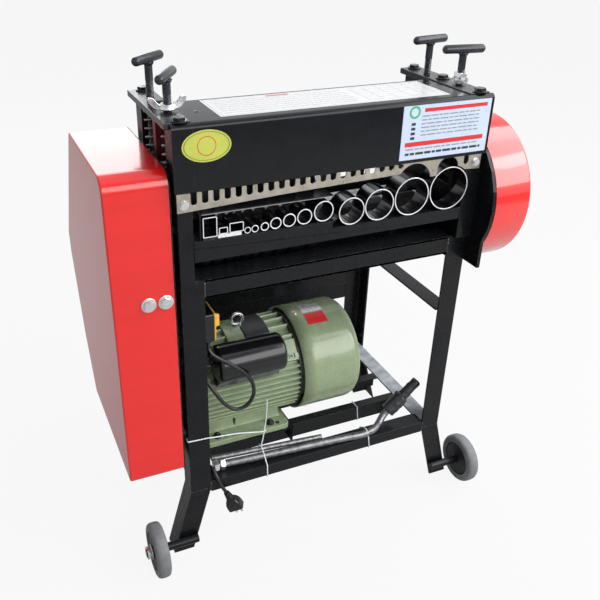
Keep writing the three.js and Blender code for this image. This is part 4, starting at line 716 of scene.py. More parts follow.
def side_frame(side):
    """Side plate with a slot for the bearing block; the right one makes room for the largest tube."""
    low, high = node_box(side + "_side_frame")
    bend = SLOT_BOTTOM + SLOT_ROUND
    outline = [(low.y, low.z), (high.y, low.z), (high.y, high.z), (SLOT_BACK, high.z),
               *arc((SLOT_BACK - SLOT_ROUND, bend), SLOT_ROUND, 0, -90, 6),
               *arc((SLOT_FRONT + SLOT_ROUND, bend), SLOT_ROUND, 270, 180, 6),
               (SLOT_FRONT, high.z), (low.y, high.z)]
    bm = bmesh.new()
    if side == "right":
        tube_low, tube_high = node_box("feed_tube_11")
        radius = (tube_high.z - tube_low.z) / 2 + 0.0004
        centre = ((tube_low.x + tube_high.x) / 2, (tube_low.z + tube_high.z) / 2)
        lean = math.degrees(math.acos((low.x - centre[0]) / radius))
        nest = [(low.x, low.z), (high.x, low.z), (high.x, high.z), (low.x, high.z),
                *arc(centre, radius, lean, -lean, 24)]
        step = tube_high.y + JOINT_GAP
        add_prism(bm, nest, 1, low.y, step)
        outline = [(max(y, step), z) for y, z in outline]
    add_prism(bm, outline, 0, low.x, high.x)
    piece(side + "_frame_plate", bm, black_paint, replaced=[side + "_side_frame"],
          bevel=0.001)


def clamp_bar(side):
    """Bar across the frame's top, with three bolts and the stop post below it."""
    low, high = node_box(side + "_clamp_bar")
    x = SCREW_X[side]
    bar_bottom = BAR_TOP - BAR_THICKNESS
    bm = bmesh.new()
    add_box(bm, (low.x, low.y + 0.0064, bar_bottom), (high.x, high.y, BAR_TOP))
    piece(side + "_clamp_plate", bm, dark_steel, replaced=[side + "_clamp_bar"],
          bevel=0.0012, bevel_steps=3)
    bm = bmesh.new()
    for y in BAR_BOLT_PLACES:
        add_turned(bm, washer(0.004, 0.0124, 0.0022, (0.0006, 0.0006)), (x, y, BAR_TOP), (0, 0, 1), 40)
        add_hexagon(bm, (x, y, BAR_TOP + 0.002), (0, 0, 1), BAR_BOLT_RADIUS, 0.0048, turn=y * 9)
    piece(side + "_clamp_bolts", bm, black_plastic)
    post = ((x - POST_HALF, POST_FRONT, POST_BOTTOM), (x + POST_HALF, POST_BACK, bar_bottom))
    boxes(side + "_stop_post", [post], dark_red, bevel=0.001)


def bearing_block(side):
    """Sliding block with a collar round each screw."""
    low, high = node_box(side + "_bearing_block")
    collar = [(0, 0.0075), (0, 0.0112), (0.0008, 0.0118), (0.0008, 0.0075), (0, 0.0075)]
    bm = bmesh.new()
    add_box(bm, low, high)
    for y in (FRONT_SCREW_Y, BACK_SCREW_Y):
        add_turned(bm, collar, (SCREW_X[side], y, high.z - 0.0006), (0, 0, 1), 32)
    piece(side + "_block", bm, dark_steel, side + "_block", [side + "_bearing_block"],
          bevel=0.001)


def spring(name, x, y):
    """Compression spring with closed end turns, stretched between the bar and its block."""
    low, high = node_box(name)
    low_z, high_z = low.z + SPRING_WIRE, high.z - SPRING_WIRE
    count = SPRING_TURNS * SPRING_STEPS
    points = []
    for i in range(count + 1):
        turned = i / SPRING_STEPS
        angle = turned * 2 * math.pi
        ease = min(max((turned - 0.8) / (SPRING_TURNS - 1.6), 0), 1)
        z = low_z + (high_z - low_z) * ease + (turned - ease * SPRING_TURNS) * SPRING_WIRE * 0.9
        z = min(max(z, low_z), high_z)
        points.append((x + SPRING_REACH * math.cos(angle), y + SPRING_REACH * math.sin(angle), z))
    bm = bmesh.new()
    add_sweep(bm, points, SPRING_WIRE, 12)
    obj = piece(name + "_coil", bm, spring_steel, None, [name])
    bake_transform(obj)


def clamp_screw(name, x, y, degrees, nut):
    """Threaded screw with a T-handle and a weld collar under it."""
    low, high = node_box(name)
    bar_z = high.z - HANDLE_RADIUS
    direction = Vector((math.cos(math.radians(degrees)), math.sin(math.radians(degrees)), 0))
    bm = bmesh.new()
    add_thread(bm, (x, y, low.z), THREAD_TOP - low.z, SCREW_RADIUS)
    add_rod(bm, (x, y, THREAD_TOP - 0.002), (x, y, bar_z), SCREW_RADIUS * 0.98, 28)
    dome = [(HANDLE_HALF + HANDLE_RADIUS * 0.8 * (math.sin(a) - 1), (HANDLE_RADIUS - JOINT_GAP) * math.cos(a))
            for a in (0, 0.25, 0.5, 0.75, 1, 1.2, 1.4)]
    profile = [(0, HANDLE_RADIUS), *dome, (HANDLE_HALF, 0)]
    profile = [(-along, reach) for along, reach in reversed(profile[1:])] + profile
    add_turned(bm, profile, (x, y, bar_z), direction, 28)
    collar = [(0, 0), (0, 0.0004), (0.003, 0.0022), (0.0045, 0.0024), (0.0045, 0), (0, 0)]
    collar = [(along, SCREW_RADIUS + past) for along, past in collar]
    add_turned(bm, collar, (x, y, bar_z - 0.0105), (0, 0, 1), 24)
    piece(name + "_handle", bm, dark_steel, name, [name])
    if nut:
        nut(name, x, y, NUT_SEAT)


def lock_nut_pair(name, x, y, z):
    """Two nuts, one on the other and turned a little."""
    bm = bmesh.new()
    add_hexagon(bm, (x, y, z), (0, 0, 1), 0.0138, 0.009, turn=0.1)
    add_hexagon(bm, (x, y, z + 0.0094), (0, 0, 1), 0.0125, 0.0085, turn=0.7)
    piece(name + "_nuts", bm, zinc_bright, name)


WING_BOSS = ((0, 0.0066), (0, 0.0125), (0.0015, 0.0138), (0.006, 0.0125), (0.009, 0.0105), (0.009, 0.0066),
             (0, 0.0066))
WING_OUTLINE = ((0.010, 0.0005), (0.0165, 0.0008), (0.0225, 0.0045), (0.0275, 0.011), (0.0292, 0.016),
                (0.0280, 0.0192), (0.0245, 0.0197), (0.0205, 0.0178), (0.0165, 0.0125), (0.0125, 0.0085),
                (0.009, 0.0078))
WING_HALF = 0.003


def wing_nut(name, x, y, z):
    """Round boss with two wings in the plane across the machine."""
    bm = bmesh.new()
    add_turned(bm, WING_BOSS, (x, y, z), (0, 0, 1), 40)
    for side in (-1, 1):
        add_prism(bm, [(x + side * px, z + pz) for px, pz in WING_OUTLINE], 1, y - WING_HALF, y + WING_HALF)
    piece(name + "_wing_nut", bm, zinc_bright, name, bevel=0.0014, bevel_steps=3)


for side_name in ("left", "right"):
    side_frame(side_name)
    clamp_bar(side_name)
    bearing_block(side_name)
for screw_end, screw_side, screw_degrees, nut_maker in (
        ("back", "left", 42, None), ("front", "left", 58, wing_nut),
        ("back", "right", 9, None), ("front", "right", -9, lock_nut_pair)):
    screw_y = FRONT_SCREW_Y if screw_end == "front" else BACK_SCREW_Y
    clamp_screw(f"{screw_end}_{screw_side}_screw", SCREW_X[screw_side], screw_y, screw_degrees, nut_maker)
    spring(f"{screw_end}_{screw_side}_spring", SCREW_X[screw_side], screw_y)


# Head: cover, comb, feed panel and tubes
COVER_WALL, COVER_BEND, COVER_BACK_DROP = 0.002, 0.008, 0.024


def top_cover():
    """Folded sheet: it reaches over the clamp bars, and its top only fills the space between them."""
    low, high = node_box("top_cover")
    centre = (low.y + COVER_BEND, high.z - COVER_BEND)
    inner = arc(centre, COVER_BEND - COVER_WALL, 90, 180, 10)
    face = [(low.y, low.z), *arc(centre, COVER_BEND, 180, 90, 10)]
    lip = high.z - COVER_BACK_DROP
    inside = (low.y + COVER_WALL, low.z)
    folded = [*face, (high.y, high.z), (high.y, lip), (high.y - COVER_WALL, lip),
              (high.y - COVER_WALL, high.z - COVER_WALL), *inner, inside]
    short = [*face, *inner, inside]
    first = node_box("left_clamp_bar")[1].x + JOINT_GAP
    last = node_box("right_clamp_bar")[0].x - JOINT_GAP
    bm = bmesh.new()
    add_prism(bm, folded, 0, first, last)
    add_prism(bm, short, 0, low.x, first)
    add_prism(bm, short, 0, last, high.x)
    piece("folded_cover", bm, black_sheet, replaced=["top_cover"], bevel=0.0004)
    bm = bmesh.new()
    for x, y in ((0.052, 0.045), (0.492, 0.088)):
        rivet = [(0, 0.0042), (0.0008, 0.0038), (0.0013, 0.0025), (0.0015, 0)]
        add_turned(bm, rivet, (x, y, high.z), (0, 0, 1), 24)
    piece("cover_rivets", bm, dark_steel)


STICKER = 0.0003
RULE_GAP = 0.0022


def sticker_rows(bm, x0, x1, rows, pitch, top, thick, material, seed, place):
    """Rows of short rules, in place of print."""
    for row in range(rows):
        x = x0
        k = 0
        while x < x1 - 0.004:
            length = 0.006 + 0.010 * (0.5 + 0.5 * math.sin(seed + row * 2.3 + k * 1.7))
            place(bm, x, min(x + length, x1), top - row * pitch - thick, top - row * pitch, material)
            x += length + RULE_GAP
            k += 1


def cover_label():
    """White plate on the cover's face, with plain rules, bars and a ring."""
    face = node_box("top_cover")[0].y
    x0, x1, z0, z1 = 0.376, 0.5475, 0.775, 0.8645
    plate = face - STICKER

    def front(target, left, right, bottom, top, material):
        add_box(target, (left, plate - 0.00012, bottom), (right, plate, top), material)

    bm = bmesh.new()
    add_box(bm, (x0, plate, z0), (x1, face, z1))
    front(bm, x0 + 0.040, x1 - 0.008, z1 - 0.012, z1 - 0.006, 1)
    front(bm, x0 + 0.008, x1 - 0.009, z0 + 0.022, z0 + 0.0295, 1)
    sticker_rows(bm, x0 + 0.036, x1 - 0.022, 6, 0.0062, z1 - 0.0175, 0.0021, 2, 1.0, front)
    sticker_rows(bm, x0 + 0.010, x1 - 0.020, 1, 0.0055, z0 + 0.0185, 0.0022, 2, 2.0, front)
    sticker_rows(bm, x0 + 0.010, x1 - 0.012, 1, 0.0055, z0 + 0.0115, 0.0040, 3, 4.0, front)
    for k in range(4):
        top = z1 - 0.028 - k * 0.0078
        front(bm, x0 + 0.017, x0 + 0.025, top - 0.0045, top, 3)
    piece("cover_label", bm, [white_sticker, red_print, grey_print_and_highlight, dark_print_and_shade])
    outer, inner, thick = 0.0105, 0.0068, 0.0002
    bm = bmesh.new()
    add_turned(bm, [(0, outer), (thick, outer), (thick, inner), (0, inner), (0, outer)],
               (x0 + 0.0215, plate, z1 - 0.011), (0, -1, 0), 40)
    piece("cover_label_ring", bm, green_print)


OVAL_CENTRE, OVAL_LINE = (0.045, 0.837), 0.00015


def oval(bm, half_x, half_z, y, depth, material, hole=None):
    """Oval plate, or an oval line where hole gives the share that is open."""
    x, z = OVAL_CENTRE
    outer, inside = ([(x + half_x * share * math.cos(a), z + half_z * share * math.sin(a))
                      for a in around(72)] for share in (1, hole or 0))
    if not hole:
        add_prism(bm, outer, 1, y - depth, y, material)
        return
    rings = [[Vector((px, at, pz)) for px, pz in line]
             for line, at in ((outer, y), (outer, y - depth), (inside, y - depth), (inside, y))]
    add_faces(bm, rings + rings[:1], caps=False, bands=[material] * 4)


def oval_sticker():
    """Yellow oval on the cover's face, with a plain line and a ring."""
    y = node_box("top_cover")[0].y
    bm = bmesh.new()
    oval(bm, 0.0380, 0.0240, y, STICKER, 0)
    oval(bm, 0.0352, 0.0214, y - STICKER, OVAL_LINE, 1, hole=0.975)
    oval(bm, 0.0145, 0.0145, y - STICKER, OVAL_LINE, 2, hole=0.93)
    piece("oval_sticker", bm, [yellow_sticker, dark_print_and_shade, red_print])


def placard():
    """White plate on the cover's top, with a border line, plain rules and an empty grid."""
    top = node_box("top_cover")[1].z
    x0, x1, y0, y1 = 0.075, 0.478, 0.0035, 0.106
    edge, line = 0.004, 0.0008
    grid_left, grid_right, grid_front = x1 - 0.145, x1 - 0.015, y0 + 0.012
    plate = top + STICKER

    def upper(target, left, right, bottom, back, material):
        add_box(target, (left, bottom, plate), (right, back, plate + 0.0001), material)

    bm = bmesh.new()
    add_box(bm, (x0, y0, top), (x1, y1, plate))
    for y in (y0 + edge, y1 - edge - line):
        upper(bm, x0 + edge, x1 - edge, y, y + line, 1)
    for x in (x0 + edge, x1 - edge - line):
        upper(bm, x, x + line, y0 + edge, y1 - edge, 1)
    sticker_rows(bm, x0 + 0.012, x1 - 0.16, 7, 0.0115, y1 - 0.016, 0.0022, 1, 0.4, upper)
    upper(bm, x0 + 0.110, x0 + 0.150, y1 - 0.012, y1 - 0.007, 2)
    for k in range(6):
        x = grid_left + k * 0.026
        upper(bm, x, x + line, grid_front, y1 - 0.012, 1)
    for k in range(7):
        y = grid_front + k * 0.0131
        upper(bm, grid_left, grid_right, y, y + line, 1)
    piece("cover_placard", bm, [white_plate, pale_print, red_print])


COMB_PITCH, COMB_TEETH, COMB_FIRST_TOOTH, COMB_LAST_SLOT = 0.018, 21, 0.014, 0.5145
COMB_LAND, COMB_SLOT = 0.009, 0.010
COMB_TOP, COMB_CUT_ACROSS, COMB_CUT = 0.767, 0.0006, 0.0012
COMB_LEFT, COMB_EAR, COMB_RIGHT = -0.0035, 0.385, 0.545
COMB_LINE = ((COMB_LEFT, 0.737), (0.170, 0.745), (COMB_EAR, 0.751), (0.4435, 0.739), (0.4565, 0.739),
             (0.463, 0.747), (COMB_RIGHT, 0.742))
COMB_ARCHES = [(0.4115, 0.733, 0.033), (0.478, 0.749, 0.0215)]
COMB_ARCH_START, COMB_SAMPLES = 0.378, 330
COMB_BOLT_X = (0.0075, 0.534)


def comb_bottom(x):
    """Height of the comb's lower edge before the arches are cut."""
    for (xa, za), (xb, zb) in zip(COMB_LINE, COMB_LINE[1:]):
        if x <= xb:
            return za + (zb - za) * (x - xa) / (xb - xa)
    return COMB_LINE[-1][1]


def comb_slots(ear_top):
    """Upper edge from left to right, with its round-bottomed slots."""
    half = COMB_SLOT / 2
    slots = [COMB_FIRST_TOOTH + (i + 0.5) * COMB_PITCH for i in range(COMB_TEETH)] + [COMB_LAST_SLOT]
    edge = [(COMB_LEFT, COMB_TOP)]
    for x in slots:
        top = COMB_TOP
        if x > COMB_EAR:
            edge += [(COMB_EAR, COMB_TOP), (COMB_EAR, ear_top)]
            top = ear_top
        bend = (x, comb_bottom(x) + COMB_LAND + half)
        cut = half + COMB_CUT_ACROSS
        edge += [(x - cut, top), (x - half, top - COMB_CUT), *arc(bend, half, 180, 360, 10),
                 (x + half, top - COMB_CUT), (x + cut, top)]
    return [*edge, (COMB_RIGHT, ear_top)]


def comb_arches():
    """Lower edge from right to left, arched over the two largest tubes."""
    arches = list(COMB_ARCHES)
    for number in (10, 11):
        low, high = node_box(f"feed_tube_{number}")
        arches.append(((low.x + high.x) / 2, (low.z + high.z) / 2, (high.z - low.z) / 2 + 0.0025))
    edge = []
    for i in range(COMB_SAMPLES + 1):
        x = COMB_RIGHT + (COMB_ARCH_START - COMB_RIGHT) * i / COMB_SAMPLES
        z = comb_bottom(x)
        for cx, cz, reach in arches:
            if abs(x - cx) < reach:
                z = max(z, cz + math.sqrt(reach ** 2 - (x - cx) ** 2))
        edge.append((x, z))
    return [*edge, COMB_LINE[1], COMB_LINE[0]]


def guide_comb():
    """Slotted plate, with a bolt at each end."""
    low, high = node_box("guide_comb")
    front = low.y + 0.005
    thick = 0.0012
    bm = bmesh.new()
    add_prism(bm, comb_slots(high.z) + comb_arches(), 1, front, high.y)
    piece("comb_plate", bm, zinc_plate, replaced=["guide_comb"], bevel=SHEET_EDGE)
    bm = bmesh.new()
    for x in COMB_BOLT_X:
        z = comb_bottom(x) + 0.012
        add_turned(bm, washer(0.004, 0.0078, thick), (x, front, z), (0, -1, 0), 32)
        add_hexagon(bm, (x, front - thick, z), (0, -1, 0), 0.0066, 0.0036, turn=0.2)
    piece("comb_bolts", bm, zinc_bright)


PANEL_WALL, PANEL_TOP, PANEL_FOLD = 0.004, 0.672, 0.668
RACK_DEPTH, RACK_LEFT, RACK_RIGHT = 0.036, 0.033, 0.263
RACK_FLOOR, RACK_FLOOR_TOP, RACK_ROOF, RACK_TOP = 0.683, 0.686, 0.726, 0.729


def feed_panel():
    """Panel under the tubes, and the box that holds the flat tubes, with a pale strip on the box's roof edge as
    a painted highlight.
    """
    low, high = node_box("feed_panel")
    front, back = low.y + PANEL_WALL, low.y + RACK_DEPTH
    boxes("panel_sheet", [
        (low, (high.x, front, PANEL_TOP)),
        ((low.x, low.y, PANEL_FOLD), (high.x, high.y, PANEL_TOP)),
        ((low.x, low.y, PANEL_FOLD), (RACK_RIGHT, front, RACK_FLOOR_TOP)),
        ((low.x, low.y, RACK_FLOOR), (RACK_RIGHT, back, RACK_FLOOR_TOP)),
    ], black_sheet, ["feed_panel"])
    boxes("rack_roof", [
        ((RACK_LEFT, front, RACK_ROOF), (RACK_RIGHT, back, RACK_TOP)),
        ((RACK_LEFT - JOINT_GAP, front, RACK_FLOOR), (RACK_LEFT + 0.0027, back, RACK_TOP)),
    ], black_sheet)
    # Pale strip along the roof's front edge: a painted highlight.
    edge = ((RACK_LEFT + 0.003, front - JOINT_GAP, RACK_ROOF + JOINT_GAP),
            (RACK_RIGHT, front - 0.0001, RACK_TOP - 0.0015))
    boxes("rack_roof_painted_highlight", [edge], grey_print_and_highlight, bevel=0)


TUBE_WALL, TUBE_LIP = 0.002, 0.0004


def feed_tube(number):
    """Black tube with a bare cut rim."""
    name = f"feed_tube_{number}"
    low, high = node_box(name)
    radius = (high.z - low.z) / 2
    wall = min(TUBE_WALL, radius / 4)
    length = high.y - low.y
    centre = ((low.x + high.x) / 2, low.y, (low.z + high.z) / 2)
    lip = min(TUBE_LIP, wall / 4)
    bore = radius - wall
    profile = [(0, bore + lip), (0, radius - lip), (lip, radius), (length - lip, radius),
               (length, radius - lip), (length, bore + lip), (length - lip, bore), (lip, bore), (0, bore + lip)]
    bm = bmesh.new()
    add_turned(bm, profile, centre, (0, 1, 0), 96, bands=[1, 1, 0, 0, 0, 0, 0, 1])
    piece(name + "_pipe", bm, [black_plastic, bright_rim], replaced=[name])


FLAT_WALL, FLAT_ROUND, FLAT_MIN_ROUND = 0.0016, 0.0018, 0.0004
FLAT_OPENINGS = ((0.0365, 0.060, 0.6895, 0.7232), (0.0625, 0.0775, 0.692, 0.7035),
                 (0.080, 0.104, 0.692, 0.7085))
SHIM_BOTTOM = 0.6863


def flat_tube_ring(opening, inset, y):
    """Rounded rectangle inside a tube's outline."""
    left, right, bottom, top = opening
    reach = max(FLAT_MIN_ROUND, FLAT_ROUND - inset)
    x0, x1 = left + inset + reach, right - inset - reach
    z0, z1 = bottom + inset + reach, top - inset - reach
    points = []
    for corner, start in (((x1, z1), 0), ((x0, z1), 90), ((x0, z0), 180), ((x1, z0), 270)):
        points += arc(corner, reach, start, start + 90, 5)
    return [Vector((x, y, z)) for x, z in points]


def flat_tubes():
    """Three rectangular tubes on their shims."""
    low, high = node_box("flat_tube_rack")
    mouth = low.y + 0.0003
    bm = bmesh.new()
    for opening in FLAT_OPENINGS:
        rings = [flat_tube_ring(opening, inset, y) for inset, y in (
            (HAIR, low.y), (0, mouth), (0, high.y),
            (FLAT_WALL, high.y), (FLAT_WALL, mouth), (FLAT_WALL - HAIR, low.y))]
        add_faces(bm, rings + rings[:1], caps=False, bands=[1, 0, 0, 0, 1, 1])
    shim = FLAT_OPENINGS[0][1] + 0.001
    add_box(bm, (shim, low.y, SHIM_BOTTOM), (0.100, high.y, SHIM_BOTTOM + 0.0055), 1)
    add_box(bm, (FLAT_OPENINGS[0][0], low.y, SHIM_BOTTOM), (shim, high.y, SHIM_BOTTOM + 0.003), 0)
    piece("flat_tubes", bm, [black_plastic, bright_rim], replaced=["flat_tube_rack"])


top_cover()
cover_label()
oval_sticker()
placard()
guide_comb()
feed_panel()
flat_tubes()
for tube_number in range(1, 12):
    feed_tube(tube_number)


# Drive covers
BELT_CORNERS = ((-0.006, 0.236), (0.292, 0.236), (0.353, 0.338), (0.415, 0.508), (0.415, 0.554),
                (0.247, 0.801))
BELT_FRONT_TOP = (-0.006, 0.801)
BELT_ROUND, BELT_FRONT_ROUND, BELT_FOLD = 0.004, 0.026, 0.003
BELT_BOLT_X, BELT_BOLT_Z = (-0.027, -0.055), 0.587
DRUM_BEND, DRUM_MIDDLE = 0.006, 0.010


def rounded(corners, radius, steps=4):
    """The outline with every corner rounded."""
    points = []
    for i, corner in enumerate(corners):
        here = Vector(corner)
        before = (Vector(corners[i - 1]) - here).normalized()
        after = (Vector(corners[(i + 1) % len(corners)]) - here).normalized()
        half = before.angle(after) / 2
        centre = here + (before + after).normalized() * radius / math.sin(half)
        start = here + before * radius / math.tan(half) - centre
        end = here + after * radius / math.tan(half) - centre
        points += [centre + start.lerp(end, k / steps).normalized() * radius for k in range(steps + 1)]
    return points


def drawn_in(outline, inset):
    """Moves the sides of a counterclockwise outline inward by a distance."""
    moved = []
    for i, corner in enumerate(outline):
        here = Vector(corner)
        into = (here - Vector(outline[i - 1])).normalized()
        away = (Vector(outline[(i + 1) % len(outline)]) - here).normalized()
        first, second = Vector((-into.y, into.x)), Vector((-away.y, away.x))
        inward = (first + second).normalized()
        moved.append(here + inward * inset / inward.dot(first))
    return moved


def upright(outline, x):
    """The outline of (Y, Z) points, standing at x."""
    return [Vector((x, y, z)) for y, z in outline]


def belt_outline():
    """Side of the belt cover; its front top corner has a larger rounding than the others."""
    y, z = BELT_FRONT_TOP
    steps = 4
    small_corners = rounded([*BELT_CORNERS, BELT_FRONT_TOP], BELT_ROUND, steps)[:-steps - 1]
    return [*small_corners, *arc((y + BELT_FRONT_ROUND, z - BELT_FRONT_ROUND), BELT_FRONT_ROUND, 90, 180, 10)]


def belt_cover():
    """Hollow pan with a rounded fold round its face, and two bolts."""
    low, high = node_box("belt_cover")
    outline = belt_outline()
    steps = [(low.x + SHEET, SHEET), (high.x, SHEET), (high.x, 0), (low.x + BELT_FOLD, 0)]
    steps += [(low.x + BELT_FOLD * (1 - math.sin(a)), BELT_FOLD * (1 - math.cos(a)))
              for a in (0.4, 0.8, 1.2, math.pi / 2)]
    bm = bmesh.new()
    add_faces(bm, [upright(drawn_in(outline, inset), x) for x, inset in steps])
    shell = piece("belt_cover_shell", bm, red_sheet, replaced=["belt_cover"])
    shell.modifiers.new("flat_faces", "WEIGHTED_NORMAL").keep_sharp = True
    face, thick = BELT_FRONT_TOP[0], 0.002
    bm = bmesh.new()
    for x in BELT_BOLT_X:
        add_turned(bm, washer(0.004, 0.0126, thick, (0.0005, 0.0008)), (x, face, BELT_BOLT_Z), (0, -1, 0), 40)
        add_hexagon(bm, (x, face - thick, BELT_BOLT_Z), (0, -1, 0), 0.0096, 0.005, turn=x * 20)
    piece("belt_cover_bolts", bm, zinc_bright)


def gear_cover():
    """Drum with a rounded edge, closed by a face on the right."""
    low, high = node_box("gear_cover")
    radius = (high.z - low.z) / 2
    turning = (high.x - DRUM_BEND, radius - DRUM_BEND)
    inside = high.x - SHEET
    profile = [(low.x, radius - SHEET), (low.x, radius), *arc(turning, DRUM_BEND, 90, 0, 8),
               (high.x, DRUM_MIDDLE), (high.x, 0), (inside, 0), (inside, DRUM_MIDDLE),
               *arc(turning, DRUM_BEND - SHEET, 0, 90, 4), (low.x, radius - SHEET)]
    bm = bmesh.new()
    add_turned(bm, profile, (0, (low.y + high.y) / 2, (low.z + high.z) / 2), (1, 0, 0), 160)
    piece("gear_cover_drum", bm, red_paint, replaced=["gear_cover"])


belt_cover()
gear_cover()


# Motor
MOTOR = Vector((0, 0.149, 0.319))
MOTOR_CORE, MOTOR_RIGHT = 0.0895, 0.262
FIN_REACH, FIN_PITCH, FINS_LEFT, FINS_RIGHT = 0.098, 0.012, 0.014, 0.2475
END_SHIELD = ((0, 0.0145), (0, 0.052), (0.004, 0.056), (0.004, 0.078), (0.0015, 0.082), (0.0015, 0.094),
              (0.0035, 0.0975), (0.012, 0.0975), (FINS_LEFT, 0.0955), (FINS_LEFT, MOTOR_CORE))
TO_CAPACITOR = Vector((-0.744, 0.668))
PAD_ACROSS = Vector((0.668, 0.744))
PAD_ROOT, PAD_FACE = 0.080, 0.0985


def add_fin(bm, offset, side, is_row, left, right):
    """Tapered fin, offset from the motor's middle; a fin of a row stands out level, the others up or down."""
    root = math.sqrt(MOTOR_CORE ** 2 - offset ** 2) - 0.004
    tip = math.sqrt(FIN_REACH ** 2 - offset ** 2)
    half = [(root, 0.0040), (tip - 0.0016, 0.0024), (tip, 0.0011)]
    section = [(out, -across) for out, across in half] + half[::-1]
    if is_row:
        outline = [(MOTOR.y + side * out, MOTOR.z + offset + across) for out, across in section]
    else:
        outline = [(MOTOR.y + offset + across, MOTOR.z + side * out) for out, across in section]
    add_prism(bm, outline, 0, left, right)


def on_motor(x, radius, angle):
    """Point on a cylinder round the motor's axis."""
    return Vector((x, MOTOR.y + radius * math.cos(angle), MOTOR.z + radius * math.sin(angle)))


def on_pad(out, across):
    """(Y, Z) of a point out from the motor's axis towards the capacitor, and across that."""
    place = Vector((MOTOR.y, MOTOR.z)) + TO_CAPACITOR * out + PAD_ACROSS * across
    return place.x, place.y


def add_on_pad(bm, corners, left, right):
    """Prism along the motor, with its corners given as (out, across)."""
    add_prism(bm, [on_pad(out, across) for out, across in corners], 0, left, right)


def disc(radius, thick):
    """Profile of a plain disc to turn."""
    return [(0, radius), (thick, radius), (thick, 0), (0, 0)]


def motor_body():
    """Cast body: end shield, barrel and fins, and a dark ring in the gap before the fan cover as painted shade.
    """
    left = node_box("motor_body")[0].x
    profile = [(left + depth, radius) for depth, radius in END_SHIELD]
    bm = bmesh.new()
    add_turned(bm, [*profile, (MOTOR_RIGHT, MOTOR_CORE), (MOTOR_RIGHT, 0.060)], MOTOR, (1, 0, 0), 96)
    for k in range(-5, 6):
        for side in (-1, 1):
            if side > 0 or k < 4:
                add_fin(bm, k * FIN_PITCH, side, True, left + FINS_LEFT, FINS_RIGHT)
    for k in range(-2, 3):
        for side in (-1, 1):
            add_fin(bm, k * FIN_PITCH * 2, side, False, left + FINS_LEFT, FINS_RIGHT)
    piece("motor_frame", bm, green_paint, replaced=["motor_body"],
          bevel=0.0005, smooth=50)
    # Dark ring in the gap before the fan cover: painted shade.
    bm = bmesh.new()
    add_turned(bm, washer(MOTOR_CORE, 0.0985, 0.0038), MOTOR + Vector((0.2480, 0, 0)), (1, 0, 0), 96)
    piece("motor_gap_painted_shade_ring", bm, dark_print_and_shade)


def cast_pad():
    """Pad under the capacitor, with two steps, and a dark disc at its right end as the painted shade of a screw
    hole.
    """
    steps = ((0.2275, 0.2375, 0.0018), (0.2385, 0.2465, 0.0035))
    low_side, high_side, sunk = -0.0175, -0.0075, 0.0005
    bm = bmesh.new()
    pad = [(PAD_ROOT, -0.023), (PAD_FACE, -0.021), (PAD_FACE, 0.021), (PAD_ROOT, 0.023)]
    add_on_pad(bm, pad, 0.066, 0.247)
    for x0, x1, rise in steps:
        add_on_pad(bm, [(PAD_FACE - sunk, low_side), (PAD_FACE + rise, low_side),
                        (PAD_FACE + rise, high_side), (PAD_FACE - sunk, high_side)], x0, x1)
    piece("motor_cast_pad", bm, green_paint, bevel=0.0008)
    # Dark disc in place of the screw hole: painted shade.
    bm = bmesh.new()
    hole = (0.2325, *on_pad(0.1001, (low_side + high_side) / 2))
    add_turned(bm, disc(0.0026, 0.0006), hole, (0, *TO_CAPACITOR), 20)
    piece("motor_pad_hole_shade", bm, dark_print_and_shade)


FOOT_LEFT, FOOT_RIGHT, FOOT_FRONT, FOOT_BACK = 0.048, 0.225, 0.049, 0.249
FOOT_BOTTOM, FOOT_TOP, FOOT_ROUND = 0.217, 0.229, 0.010
PEDESTALS = ((0.052, 0.1165), (0.121, 0.2135))
PEDESTAL_FRONT, PEDESTAL_BACK, PEDESTAL_TOP = 0.083, 0.215, 0.285
PEDESTAL_FLARE = ((-0.001, 0.004), (0.004, 0.0012), (0.010, 0), (PEDESTAL_TOP - FOOT_TOP, 0))


def motor_feet():
    """Base plate with two pedestals that flare out into it, its bolts, and dark discs as the painted shade of
    its open holes.
    """
    bm = bmesh.new()
    corners = [(FOOT_LEFT, FOOT_FRONT), (FOOT_RIGHT, FOOT_FRONT),
               (FOOT_RIGHT, FOOT_BACK), (FOOT_LEFT, FOOT_BACK)]
    add_prism(bm, rounded(corners, FOOT_ROUND, 6), 2, FOOT_BOTTOM, FOOT_TOP)
    for x0, x1 in PEDESTALS:
        rings = []
        for rise, grow in PEDESTAL_FLARE:
            front, back = PEDESTAL_FRONT - grow, PEDESTAL_BACK + grow
            rings.append([Vector((x, y, FOOT_TOP + rise)) for x, y in (
                (x0 - grow, front), (x1 + grow, front), (x1 + grow, back), (x0 - grow, back))])
        add_faces(bm, rings)
    piece("motor_feet", bm, green_paint, bevel=0.0016, bevel_steps=3)
    bm = bmesh.new()
    thick = 0.0012
    for x, y in ((0.1878, 0.0638), (0.076, 0.0638), (0.1878, 0.2342), (0.076, 0.2342)):
        add_turned(bm, washer(0.004, 0.0088, thick), (x, y, FOOT_TOP), (0, 0, 1), 32)
        add_hexagon(bm, (x, y, FOOT_TOP + thick), (0, 0, 1), 0.0070, 0.0045, turn=x * 11)
        add_rod(bm, (x, y, FOOT_TOP + 0.004), (x, y, FOOT_TOP + 0.0095), 0.0035, 20)
    piece("motor_foot_bolts", bm, dark_steel)
    # Dark discs in place of the open holes: painted shade.
    bm = bmesh.new()
    for x, y in ((0.2026, 0.060), (0.091, 0.060), (0.2026, 0.238), (0.091, 0.238)):
        add_turned(bm, disc(0.0042, 0.0004), (x, y, FOOT_TOP), (0, 0, 1), 28)
    piece("motor_foot_hole_shades", bm, dark_print_and_shade)


